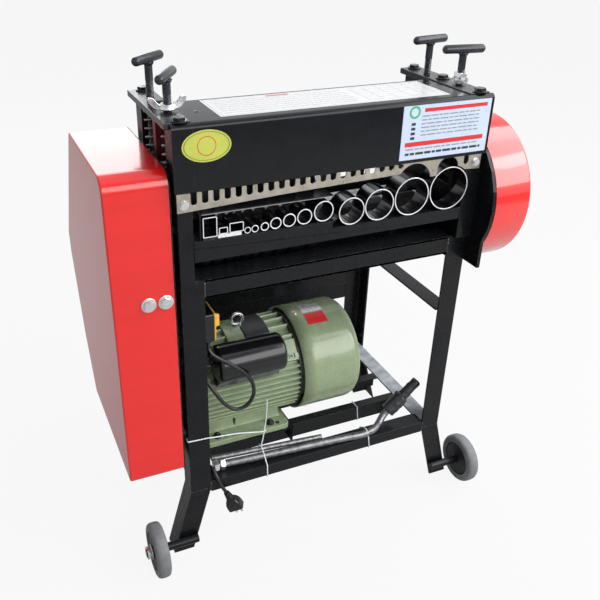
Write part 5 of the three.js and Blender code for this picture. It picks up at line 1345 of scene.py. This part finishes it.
def terminal_saddle():
    """Smooth saddle on the motor's back, with a dark pad beside it."""
    middle, inner = (MOTOR.y, MOTOR.z), 0.086
    for name, x0, x1, reach, angles, material, slot in (
            ("terminal_saddle", 0.118, 0.1538, 0.0998, (66.5, 113.5), green_paint, "green_paint"),
            ("terminal_pad", 0.1546, 0.206, 0.1004, (67, 113), pad_grey, "dark_steel")):
        bm = bmesh.new()
        add_prism(bm, arc(middle, reach, *angles, 24) + arc(middle, inner, *angles[::-1], 24), 0, x0, x1)
        piece(name, bm, material, bevel=0.0022, bevel_steps=4)


def eye_bolt():
    """Lifting eye on its collar."""
    x, height, radius, foot = 0.151, 0.432, 0.012, 0.4165
    ring = [(x + radius * math.cos(a), MOTOR.y, height + radius * math.sin(a)) for a in around(48)]
    bm = bmesh.new()
    add_sweep(bm, ring, 0.0034, 16, closed=True)
    collar = [(0, 0), (0, 0.0094), (0.004, 0.0094), (0.0057, 0.0076), (0.0071, 0.0052), (0.0071, 0)]
    add_turned(bm, collar, (x, MOTOR.y, foot), (0, 0, 1), 32)
    piece("eye_bolt", bm, zinc_bright)


FAN_COVER_RADIUS, FAN_COVER_BEND, FAN_SLOT_RADIUS = 0.107, 0.022, 0.072
FAN_SEGMENTS, FAN_SLOTS, PLATE_THICK = 96, 8, 0.0003


def fan_cover():
    """Sheet cover, slotted on its end, with two plates and three screws."""
    low, high = node_box("motor_fan_cover")
    bend = FAN_COVER_BEND
    profile = [(low.x + depth, FAN_COVER_RADIUS) for depth in (0, 0.030, 0.070)]
    profile += arc((high.x - bend, FAN_COVER_RADIUS - bend), bend, 90, 0, 10)
    profile += [(high.x, FAN_SLOT_RADIUS), (high.x, 0.026), (high.x, 0.002)]
    bm = bmesh.new()
    rings = [[bm.verts.new(on_motor(x, r, a)) for a in around(FAN_SEGMENTS)] for x, r in profile]
    for (x, radius), ring, after in zip(profile, rings, rings[1:]):
        for k in range(FAN_SEGMENTS):
            if radius == FAN_SLOT_RADIUS and k % (FAN_SEGMENTS // FAN_SLOTS) in (0, 1):
                continue
            j = (k + 1) % FAN_SEGMENTS
            bm.faces.new((ring[k], after[k], after[j], ring[j]))
    obj = piece("fan_cover_shell", bm, green_paint, replaced=["motor_fan_cover"])
    sheet = obj.modifiers.new("sheet", "SOLIDIFY")
    sheet.thickness = 0.002
    sheet.offset = -1
    inside, outside = FAN_COVER_RADIUS - 0.0001, FAN_COVER_RADIUS + PLATE_THICK
    for number, (x0, x1, first, last, material) in enumerate((
            (0.2855, 0.3285, 82, 98.5, silver_plate), (0.2845, 0.3275, 100.5, 116, red_print))):
        bm = bmesh.new()
        section = ((x0, inside), (x1, inside), (x1, outside), (x0, outside))
        add_faces(bm, [[on_motor(x, r, math.radians(first + (last - first) * k / 8)) for x, r in section]
                       for k in range(9)])
        piece(f"fan_cover_plate_{number + 1}", bm, material, smooth=60)
    bm = bmesh.new()
    for degrees in (97, 222, 340):
        a = math.radians(degrees)
        head = [(-0.001, 0.0036), (0.0005, 0.0036), (0.0018, 0.0026), (0.0022, 0)]
        add_turned(bm, head, on_motor(0.270, FAN_COVER_RADIUS - 0.0002, a), (0, math.cos(a), math.sin(a)), 20)
    piece("fan_cover_screws", bm, brass)


CAN_LEFT, CAN_RADIUS, CAN_BEND = 0.071, 0.036, 0.009
CAN_CENTRE = (0, 0.052, 0.406)


def capacitor_cover():
    """Round-ended can in a saddle with flanges, and its cable gland."""
    right = node_box("capacitor_cover")[1].x
    level = CAN_RADIUS - CAN_BEND
    profile = [(CAN_LEFT, 0), *arc((CAN_LEFT + CAN_BEND, level), CAN_BEND, 180, 90, 8),
               *arc((right - CAN_BEND, level), CAN_BEND, 90, 0, 8), (right, 0)]
    bm = bmesh.new()
    add_turned(bm, profile, CAN_CENTRE, (1, 0, 0), 96)
    piece("capacitor_can", bm, black_plastic, replaced=["capacitor_cover"])
    near, far, half = 0.1303, 0.0975, 0.0352
    narrow, wide, flange, thick = half - 0.0003, half + 0.0008, half + 0.004, 0.0022
    bm = bmesh.new()
    add_on_pad(bm, [(far, -wide), (near, -narrow), (near, narrow), (far, wide)],
               CAN_LEFT + 0.004, right - 0.006)
    add_on_pad(bm, [(far, -flange), (far + thick, -flange), (far + thick, flange), (far, flange)],
               CAN_LEFT + 0.001, right - 0.004)
    piece("capacitor_saddle", bm, black_plastic, bevel=0.0008)
    bm = bmesh.new()
    add_gland(bm, Vector(CAN_CENTRE) + Vector((CAN_LEFT + 0.0005, 0, 0)), (-1, 0, 0))
    piece("capacitor_gland", bm, black_plastic, bevel=0.0003)


def add_gland(bm, start, axis):
    """Cable gland: a collar, a hexagon nut and a clamping cap."""
    start, axis = Vector(start), Vector(axis)
    collar, nut, bore = 0.0016, 0.0028, 0.0036
    add_turned(bm, washer(0.0035, 0.0069, collar), start, axis, 32)
    add_hexagon(bm, start + axis * collar, axis, 0.0069, nut, 0.0005)
    cap = [(0, bore), (0, 0.0062), (0.0016, 0.0058), (0.0025, 0.0046), (0.0025, bore), (0, bore)]
    add_turned(bm, cap, start + axis * (collar + nut), axis, 32)


motor_body()
cast_pad()
motor_feet()
terminal_saddle()
eye_bolt()
fan_cover()
capacitor_cover()


# Switch, crank handle, cords and ties
SWITCH_LEFT, SWITCH_FACE, SWITCH_FRONT, SWITCH_BACK = 0.008, 0.058, 0.008, 0.058
SWITCH_BOTTOM, SWITCH_TOP = 0.484, 0.539
SWITCH_OUTLINE = ((SWITCH_FRONT, SWITCH_BOTTOM), (SWITCH_BACK, SWITCH_BOTTOM),
                  (SWITCH_BACK, SWITCH_TOP), (SWITCH_FRONT, SWITCH_TOP))
SWITCH_MIDDLE = Vector(((SWITCH_FRONT + SWITCH_BACK) / 2, (SWITCH_BOTTOM + SWITCH_TOP) / 2))
SWITCH_PLATE, GLAND_X, GLAND_Y = 0.003, 0.050, (0.046, 0.022)


def switch_box():
    """Case, yellow face plate with its screws, and the two cable glands below."""
    bm = bmesh.new()
    add_prism(bm, rounded(SWITCH_OUTLINE, 0.004, 5), 0, SWITCH_LEFT, SWITCH_FACE - 0.0002)
    inset = 0.004
    add_box(bm, (0.0044, SWITCH_FRONT + inset, SWITCH_BOTTOM + inset),
            (SWITCH_LEFT + 0.001, SWITCH_BACK - inset, SWITCH_TOP - inset))
    piece("switch_case", bm, black_plastic, replaced=["switch_box"],
          bevel=0.0012, bevel_steps=3)
    bm = bmesh.new()
    plate = SWITCH_FACE + SWITCH_PLATE
    add_prism(bm, rounded(SWITCH_OUTLINE, 0.005, 5), 0, SWITCH_FACE, plate)
    piece("switch_face_plate", bm, yellow_plastic, bevel=0.0009, bevel_steps=3)
    bm = bmesh.new()
    screw, inset = [(0, 0.0026), (0.0005, 0.0024), (0.0007, 0.0012), (0.0007, 0)], 0.006
    for y in (SWITCH_FRONT + inset, SWITCH_BACK - inset):
        for z in (SWITCH_BOTTOM + inset, SWITCH_TOP - inset):
            add_turned(bm, screw, (plate, y, z), (1, 0, 0), 20)
    piece("switch_plate_screws", bm, zinc_bright)
    switch_knob(plate)
    bm = bmesh.new()
    for y in GLAND_Y:
        add_gland(bm, (GLAND_X, y, SWITCH_BOTTOM + 0.0002), (0, 0, -1))
    piece("switch_glands", bm, black_plastic, bevel=0.0003)


def switch_knob(plate):
    """Disc with an upright bar to turn it by."""
    rim = [(0, 0.014), (0.0022, 0.0138), (0.0034, 0.0128), (0.0034, 0), (0, 0)]
    half_y, half_z = 0.0034, 0.0125
    bm = bmesh.new()
    add_turned(bm, rim, (plate + 0.0003, *SWITCH_MIDDLE), (1, 0, 0), 64)
    corners = [SWITCH_MIDDLE + Vector(corner) for corner in (
        (-half_y, -half_z), (half_y, -half_z), (half_y, half_z), (-half_y, half_z))]
    bar = rounded(corners, 0.003, 5)
    steps = ((0.0006, -0.0004), (0.009, 0), (0.0125, 0.0006), (0.0140, 0.0018))
    add_faces(bm, [upright(drawn_in(bar, inset), plate + out) for out, inset in steps])
    piece("switch_turn_knob", bm, yellow_plastic, "switch_knob", ["switch_knob"],
          bevel=0.0005)


def smooth_path(points, per_span=12):
    """Centripetal Catmull-Rom curve through points."""
    points = [Vector(p) for p in points]
    line = [points[0] * 2 - points[1], *points, points[-1] * 2 - points[-2]]
    path = []
    for a, b, c, d in zip(line, line[1:], line[2:], line[3:]):
        t1 = (b - a).length ** 0.5
        t2 = t1 + (c - b).length ** 0.5
        t3 = t2 + (d - c).length ** 0.5
        for k in range(per_span):
            t = t1 + (t2 - t1) * k / per_span
            ab = a.lerp(b, t / t1)
            bc = b.lerp(c, (t - t1) / (t2 - t1))
            cd = c.lerp(d, (t - t2) / (t3 - t2))
            early, late = ab.lerp(bc, t / t2), bc.lerp(cd, (t - t1) / (t3 - t1))
            path.append(early.lerp(late, (t - t1) / (t2 - t1)))
    path.append(points[-1])
    return path


CRANK_RADIUS, CRANK_RUN, CRANK_LEFT, RAIL_TOP = 0.0075, 0.388, 0.054, 0.180
CRANK_SHARES = ((0, 3.33, 1.79), (0.17, 2.8, 1.53), (0.428, 2, 1.33), (0.686, 1.2, 1.15), (0.83, 0.67, 1.09),
                (0.897, 1.47, 1.2), (0.941, 2.93, 1.57), (0.973, 4, 2.53))
GRIP_START = Vector((0.442, 0.032, 0.208))
GRIP_AXIS = Vector((1, 0, 0.88)).normalized()
GRIP_BORE, GRIP_BIG, GRIP_SMALL, GRIP_PITCH = 0.0079, 0.017, 0.0115, 0.0025
SPARE_ROD = ((0.054, 0.0385, 0.2008), (0.100, 0.0356, 0.1992), (0.160, 0.0319, 0.1974),
             (0.220, 0.0283, 0.1954), (0.285, 0.0245, 0.1935))


def crank():
    """Bent rod with two nuts, tied on the rail."""
    route = [Vector((CRANK_LEFT + CRANK_RUN * run, CRANK_RADIUS * across, RAIL_TOP + CRANK_RADIUS * rise))
             for run, across, rise in CRANK_SHARES]
    start = route[0]
    route += [GRIP_START + GRIP_AXIS * depth for depth in (0, 0.020, 0.040)]
    bm = bmesh.new()
    add_sweep(bm, smooth_path(route), CRANK_RADIUS - 0.00005, 28)
    piece("crank_rod", bm, rod_steel, replaced=["crank_handle"], bevel=0.0006)
    bm = bmesh.new()
    for x in (start.x, start.x + 0.0126):
        add_hexagon(bm, (x, start.y, start.z), (1, 0, 0), 0.0124, 0.009, turn=x * 40)
    piece("crank_nuts", bm, zinc_bright)


def crank_grip():
    """Worn grip: a thick stretch and a thin one, dented by noise."""
    thick = [(0.002 + GRIP_PITCH * k, GRIP_BIG) for k in range(18)]
    thin = [(0.0475 + GRIP_PITCH * k, GRIP_SMALL - 0.00003 * k) for k in range(17)]
    profile = [(0.055, 0), (0.055, GRIP_BORE), (0.003, GRIP_BORE), (0, GRIP_BORE + 0.001),
               (0, GRIP_BIG - 0.002), *thick, (0.046, GRIP_BIG - 0.003),
               *thin, (0.0905, GRIP_SMALL - 0.003), (0.091, 0)]
    bm = bmesh.new()
    add_turned(bm, profile, GRIP_START, GRIP_AXIS, 64)
    for vert in bm.verts:
        on_axis = GRIP_START + GRIP_AXIS * (vert.co - GRIP_START).dot(GRIP_AXIS)
        out = vert.co - on_axis
        if out.length > GRIP_SMALL - 0.004:
            dent = 0.5 + 0.7 * noise.noise(vert.co * 95) + 0.3 * noise.noise(vert.co * 260)
            vert.co = on_axis + out * (1 - 0.16 * min(1, max(0, dent)))
    piece("crank_hand_grip", bm, rough_grip, "crank_grip", ["crank_grip"], smooth=50)


def spare_rod():
    """Nearly straight rod that lies behind the crank handle."""
    bm = bmesh.new()
    add_sweep(bm, smooth_path(SPARE_ROD), 0.0055, 24)
    piece("spare_rod", bm, rod_steel, bevel=0.0005)


MILLIMETRE = 0.001
CORD_DIAMETER = 0.007
MAINS_ROUTE = (
    (50, 46, 476.7), (50, 46, 450), (46, 47, 425), (33, 49, 395), (25, 50, 355), (23, 52, 290),
    (21, 62, 232), (19, 88, 198), (18, 130, 185), (17, 190, 184.2), (17, 250, 184.2), (19, 295, 184.5),
    (30, 324, 185), (48, 333, 186), (64, 321, 187), (66, 300, 187), (52, 286, 186), (38, 272, 185),
    (34, 244, 184.2), (35, 160, 184.2), (35, 100, 184.6), (35, 60, 189), (39, 36, 197), (46, 15, 200),
    (51, 0, 190), (57, -8, 172), (66, -11, 153))
LEAD_ROUTE = (
    (50, 22, 476.7), (50, 21, 466), (54, 16, 456), (66, 11, 446), (88, 8, 429), (112, 6, 406),
    (127, 6, 380), (128, 6, 352), (115, 8, 332), (95, 10, 328), (75, 13, 344), (61, 19, 366),
    (50, 30, 386), (44, 43, 400), (51, 51.5, 406), (63.6, 52, 406))


def cord(name, route, node):
    """Cord along its CAD route."""
    path = smooth_path([ORIGIN + Vector(point) * MILLIMETRE for point in route])
    data = bpy.data.curves.new(name, "CURVE")
    data.dimensions = "3D"
    data.bevel_depth = CORD_DIAMETER / 2
    data.bevel_resolution = 5
    data.use_fill_caps = True
    spline = data.splines.new("POLY")
    spline.points.add(len(path) - 1)
    for point, place in zip(spline.points, path):
        point.co = (*place, 1)
    spline.use_smooth = True
    data.materials.append(cord_rubber)
    obj = bpy.data.objects.new(name, data)
    scene.collection.objects.link(obj)
    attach(obj, "frame")
    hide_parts(node)


NECK_RIBS, NECK_PITCH = 4, 0.0040
PLUG_SECTIONS = ((0.0172, 0.0075, 0.0070), (0.0205, 0.0105, 0.0085), (0.027, 0.0135, 0.0098),
                 (0.034, 0.0148, 0.0099), (0.044, 0.0148, 0.0099))
PIN_APART, PIN_START, PIN_END = 0.0055, 0.0435, 0.0575


def at_cord_end(bm):
    """Moves what was made along Y to the end of the mains cord."""
    before, end = (Vector(point) * MILLIMETRE for point in MAINS_ROUTE[-2:])
    turn = Vector((0, 1, 0)).rotation_difference((end - before).normalized())
    bmesh.ops.rotate(bm, verts=bm.verts, cent=(0, 0, 0), matrix=turn.to_matrix())
    bmesh.ops.translate(bm, verts=bm.verts, vec=end)
    return bm


def mains_plug():
    """Ribbed neck and flat body, and the two pins."""
    neck = [(0.0003, 0.0038), (0.0003, 0.0055)]
    for k in range(NECK_RIBS):
        start, radius = 0.002 + k * NECK_PITCH, 0.0058 + k * 0.0006
        neck += [(start, radius), (start + 0.0023, radius + 0.0002),
                 (start + 0.0026, radius - 0.0008), (start + 0.0037, radius - 0.0008)]
    neck += [(0.0186, 0.0084), (0.0186, 0)]
    bm = bmesh.new()
    add_turned(bm, neck, (0, 0, 0), (0, 1, 0), 32)
    rings = []
    for y, half_x, half_z in PLUG_SECTIONS:
        corners = [(-half_x, -half_z), (half_x, -half_z), (half_x, half_z), (-half_x, half_z)]
        rings.append([Vector((x, y, z)) for x, z in rounded(corners, 0.003, 4)])
    add_faces(bm, rings)
    body = piece("plug_body", at_cord_end(bm), black_plastic, replaced=["mains_plug"],
                 bevel=0.0006)
    bm = bmesh.new()
    for x in (-PIN_APART, PIN_APART):
        add_rod(bm, (x, PIN_START, 0), (x, PIN_END, 0), 0.0021, 20, 0.0008)
    return [body, piece("plug_pins", at_cord_end(bm), zinc_bright)]


def tie(name, points, closed=False):
    """White plastic tie; an open one runs smoothly through its points."""
    bm = bmesh.new()
    add_sweep(bm, points if closed else smooth_path(points, 6), 0.0012, 10, closed=closed)
    piece(name, bm, white_tie)


def rail_tie(name, x, lean, top_y, top_z, rail_back):
    """Tie round a rod and the angle rail below it."""
    across = [(top_y, top_z), (top_y - 0.0075, top_z - 0.003), (-0.0002, 0.1830), (-0.0013, 0.1805),
              (-0.0013, 0.1545), (0.001, 0.1535), (0.0055, 0.1545), (rail_back, 0.1755),
              (rail_back + 0.0012, 0.1805), (top_y + 0.008, top_z - 0.003)]
    tie(name, [Vector((x + lean * (0.190 - z) / 0.036, y, z)) for y, z in across], closed=True)


TIE_TAIL = ((0.155, 0.030, 0.2080), (0.160, 0.034, 0.2200), (0.1705, 0.0455, 0.2500),
            (0.1735, 0.0478, 0.2760), (0.1742, 0.0482, 0.3010))
TIE_BACK = ((0.409, 0.0967, 0.1815), (0.413, 0.0967, 0.1460), (0.413, 0.099, 0.1448), (0.413, 0.1032, 0.1460),
            (0.411, 0.1185, 0.1755), (0.409, 0.1192, 0.1815))
TIE_LEG = ((-0.0013, 0.039, 0.2890), (-0.0013, 0.010, 0.2898), (-0.0010, -0.0008, 0.2898),
           (0.006, -0.0013, 0.2892), (0.038, -0.0013, 0.2872), (0.046, -0.0005, 0.2850),
           (0.100, 0.020, 0.2620), (0.165, 0.0405, 0.2320), (0.171, 0.045, 0.2290))


def white_ties():
    rail_tie("tie_right", 0.380, 0.005, 0.009, 0.1972, 0.0345)
    rail_tie("tie_left", 0.155, 0.001, 0.030, 0.2075, 0.0450)
    tie("tie_tail", TIE_TAIL)
    tie("tie_back", TIE_BACK, closed=True)
    tie("tie_leg", TIE_LEG)


BELT_X, BIG_CENTRE, BIG_RADIUS, SMALL_RADIUS = -0.0625, Vector((0.169354, 0.645)), 0.140, 0.030
BELT_SECTION = ((-0.0065, 0.0040), (0.0065, 0.0040), (0.0052, -0.0037), (-0.0052, -0.0037))


def drive_belt():
    """V-belt round the motor's pulley and the big one."""
    small = Vector((MOTOR.y, MOTOR.z))
    to_small = math.atan2(small.y - BIG_CENTRE.y, small.x - BIG_CENTRE.x)
    wrap = math.acos((BIG_RADIUS - SMALL_RADIUS) / (small - BIG_CENTRE).length)
    rings = []
    for centre, radius, start, end, steps in (
            (small, SMALL_RADIUS, to_small - wrap, to_small + wrap, 24),
            (BIG_CENTRE, BIG_RADIUS, to_small + wrap, to_small + 2 * math.pi - wrap, 96)):
        for k in range(steps + 1):
            a = start + (end - start) * k / steps
            away = Vector((math.cos(a), math.sin(a)))
            rings.append([Vector((BELT_X + x, *(centre + away * (radius + out)))) for x, out in BELT_SECTION])
    bm = bmesh.new()
    add_faces(bm, rings + rings[:1], caps=False)
    piece("v_belt", bm, belt_rubber, replaced=["drive_belt"])


switch_box()
crank()
crank_grip()
spare_rod()
plug_pieces = mains_plug()
cord("mains_lead", MAINS_ROUTE, "mains_cord")
cord("motor_supply_lead", LEAD_ROUTE, "motor_lead")
white_ties()
drive_belt()


# CAD nodes whose shape is kept
# The knives, feed roller and feed gear take oily steel darkened as painted shade.
for kept_name, kept_material in (
        ("belt_back_plate", black_paint), ("gear_back_plate", black_paint), ("knife_shaft", oily_shaded_steel),
        ("feed_roller", oily_shaded_steel), ("feed_gear", oily_shaded_steel), ("jack_shaft", bare_steel),
        ("motor_rotor", bare_steel)):
    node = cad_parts[kept_name]
    node.data.materials.clear()
    node.data.materials.append(kept_material)


# Floor, world and light
def seen_directly(tree, glossy_share):
    """1 for camera and transmission rays, the share for glossy ones."""
    path = node_of(tree, "ShaderNodeLightPath")
    total = multiplied(tree, path.outputs["Is Glossy Ray"], glossy_share)
    for kind in ("Is Camera Ray", "Is Transmission Ray"):
        node = node_of(tree, "ShaderNodeMath", operation="MAXIMUM")
        tree.links.new(total, node.inputs[0])
        tree.links.new(path.outputs[kind], node.inputs[1])
        total = node.outputs[0]
    return total


def make_world():
    """White at the horizon and greyer overhead; dimmer as light than as a background."""
    world = bpy.data.worlds.new("studio")
    scene.world = world
    world.use_nodes = True
    tree = world.node_tree
    background = tree.nodes["Background"]
    coords = node_of(tree, "ShaderNodeTexCoord").outputs["Generated"]
    split = node_of(tree, "ShaderNodeSeparateXYZ")
    tree.links.new(coords, split.inputs[0])
    rising = mapped(tree, split.outputs["Z"], 0.1, 0.7, 0, 1)
    tree.links.new(mixed(tree, rising, HORIZON, OVERHEAD), background.inputs["Color"])
    level = node_of(tree, "ShaderNodeMix", data_type="FLOAT")
    tree.links.new(seen_directly(tree, 1), level.inputs[0])
    level.inputs[2].default_value = AMBIENT
    level.inputs[3].default_value = 1
    tree.links.new(level.outputs[0], background.inputs["Strength"])


def make_lamp(name, place, target, size, radiance):
    """Area lamp that points at a target; its power follows from its radiance and its size."""
    data = bpy.data.lights.new(name, "AREA")
    data.shape = "RECTANGLE"
    data.size, data.size_y = size
    data.energy = radiance * math.pi * size[0] * size[1]
    lamp = bpy.data.objects.new(name, data)
    lamp.location = place
    lamp.rotation_euler = (Vector(target) - Vector(place)).to_track_quat("-Z", "Y").to_euler()
    lamp.visible_camera = False
    scene.collection.objects.link(lamp)


def make_floor():
    """Pale floor that looks white where no shadow falls on it."""
    tree = floor_finish.node_tree
    glow = node_of(tree, "ShaderNodeEmission")
    mix = node_of(tree, "ShaderNodeMixShader")
    tree.links.new(multiplied(tree, seen_directly(tree, FLOOR_GLOSS), FLOOR_WHITE), mix.inputs[0])
    tree.links.new(tree.nodes["Principled BSDF"].outputs[0], mix.inputs[1])
    tree.links.new(glow.outputs[0], mix.inputs[2])
    tree.links.new(mix.outputs[0], tree.nodes["Material Output"].inputs["Surface"])
    bm = bmesh.new()
    add_box(bm, (-FLOOR_HALF, -FLOOR_HALF, -FLOOR_THICKNESS), (FLOOR_HALF, FLOOR_HALF, 0))
    mesh = bpy.data.meshes.new("floor")
    bmesh.ops.recalc_face_normals(bm, faces=bm.faces)
    bm.to_mesh(mesh)
    bm.free()
    mesh.materials.append(floor_finish)
    floor = bpy.data.objects.new("floor", mesh)
    scene.collection.objects.link(floor)


AMBIENT = 0.42
HORIZON, OVERHEAD = (1, 1, 1, 1), (0.6, 0.62, 0.66, 1)
FLOOR_WHITE, FLOOR_GLOSS, FLOOR_THICKNESS = 0.9, 0.15, 0.02
MIDDLE = (0, 0, 0.5)
make_world()
make_lamp("front", (1.75, -2.5, 2.05), MIDDLE, (4.2, 1.9), 4.2)
make_lamp("high", (2.35, -0.55, 2.8), (0.3, 0, 0.7), (3, 1.6), 3.4)
make_lamp("back", (-0.1, 3, 2.3), (-0.3, 0, 0.8), (1.2, 2.4), 2.8)
make_lamp("top", (0.4, 0.3, 3), MIDDLE, (3, 3), 0.6)
make_floor()
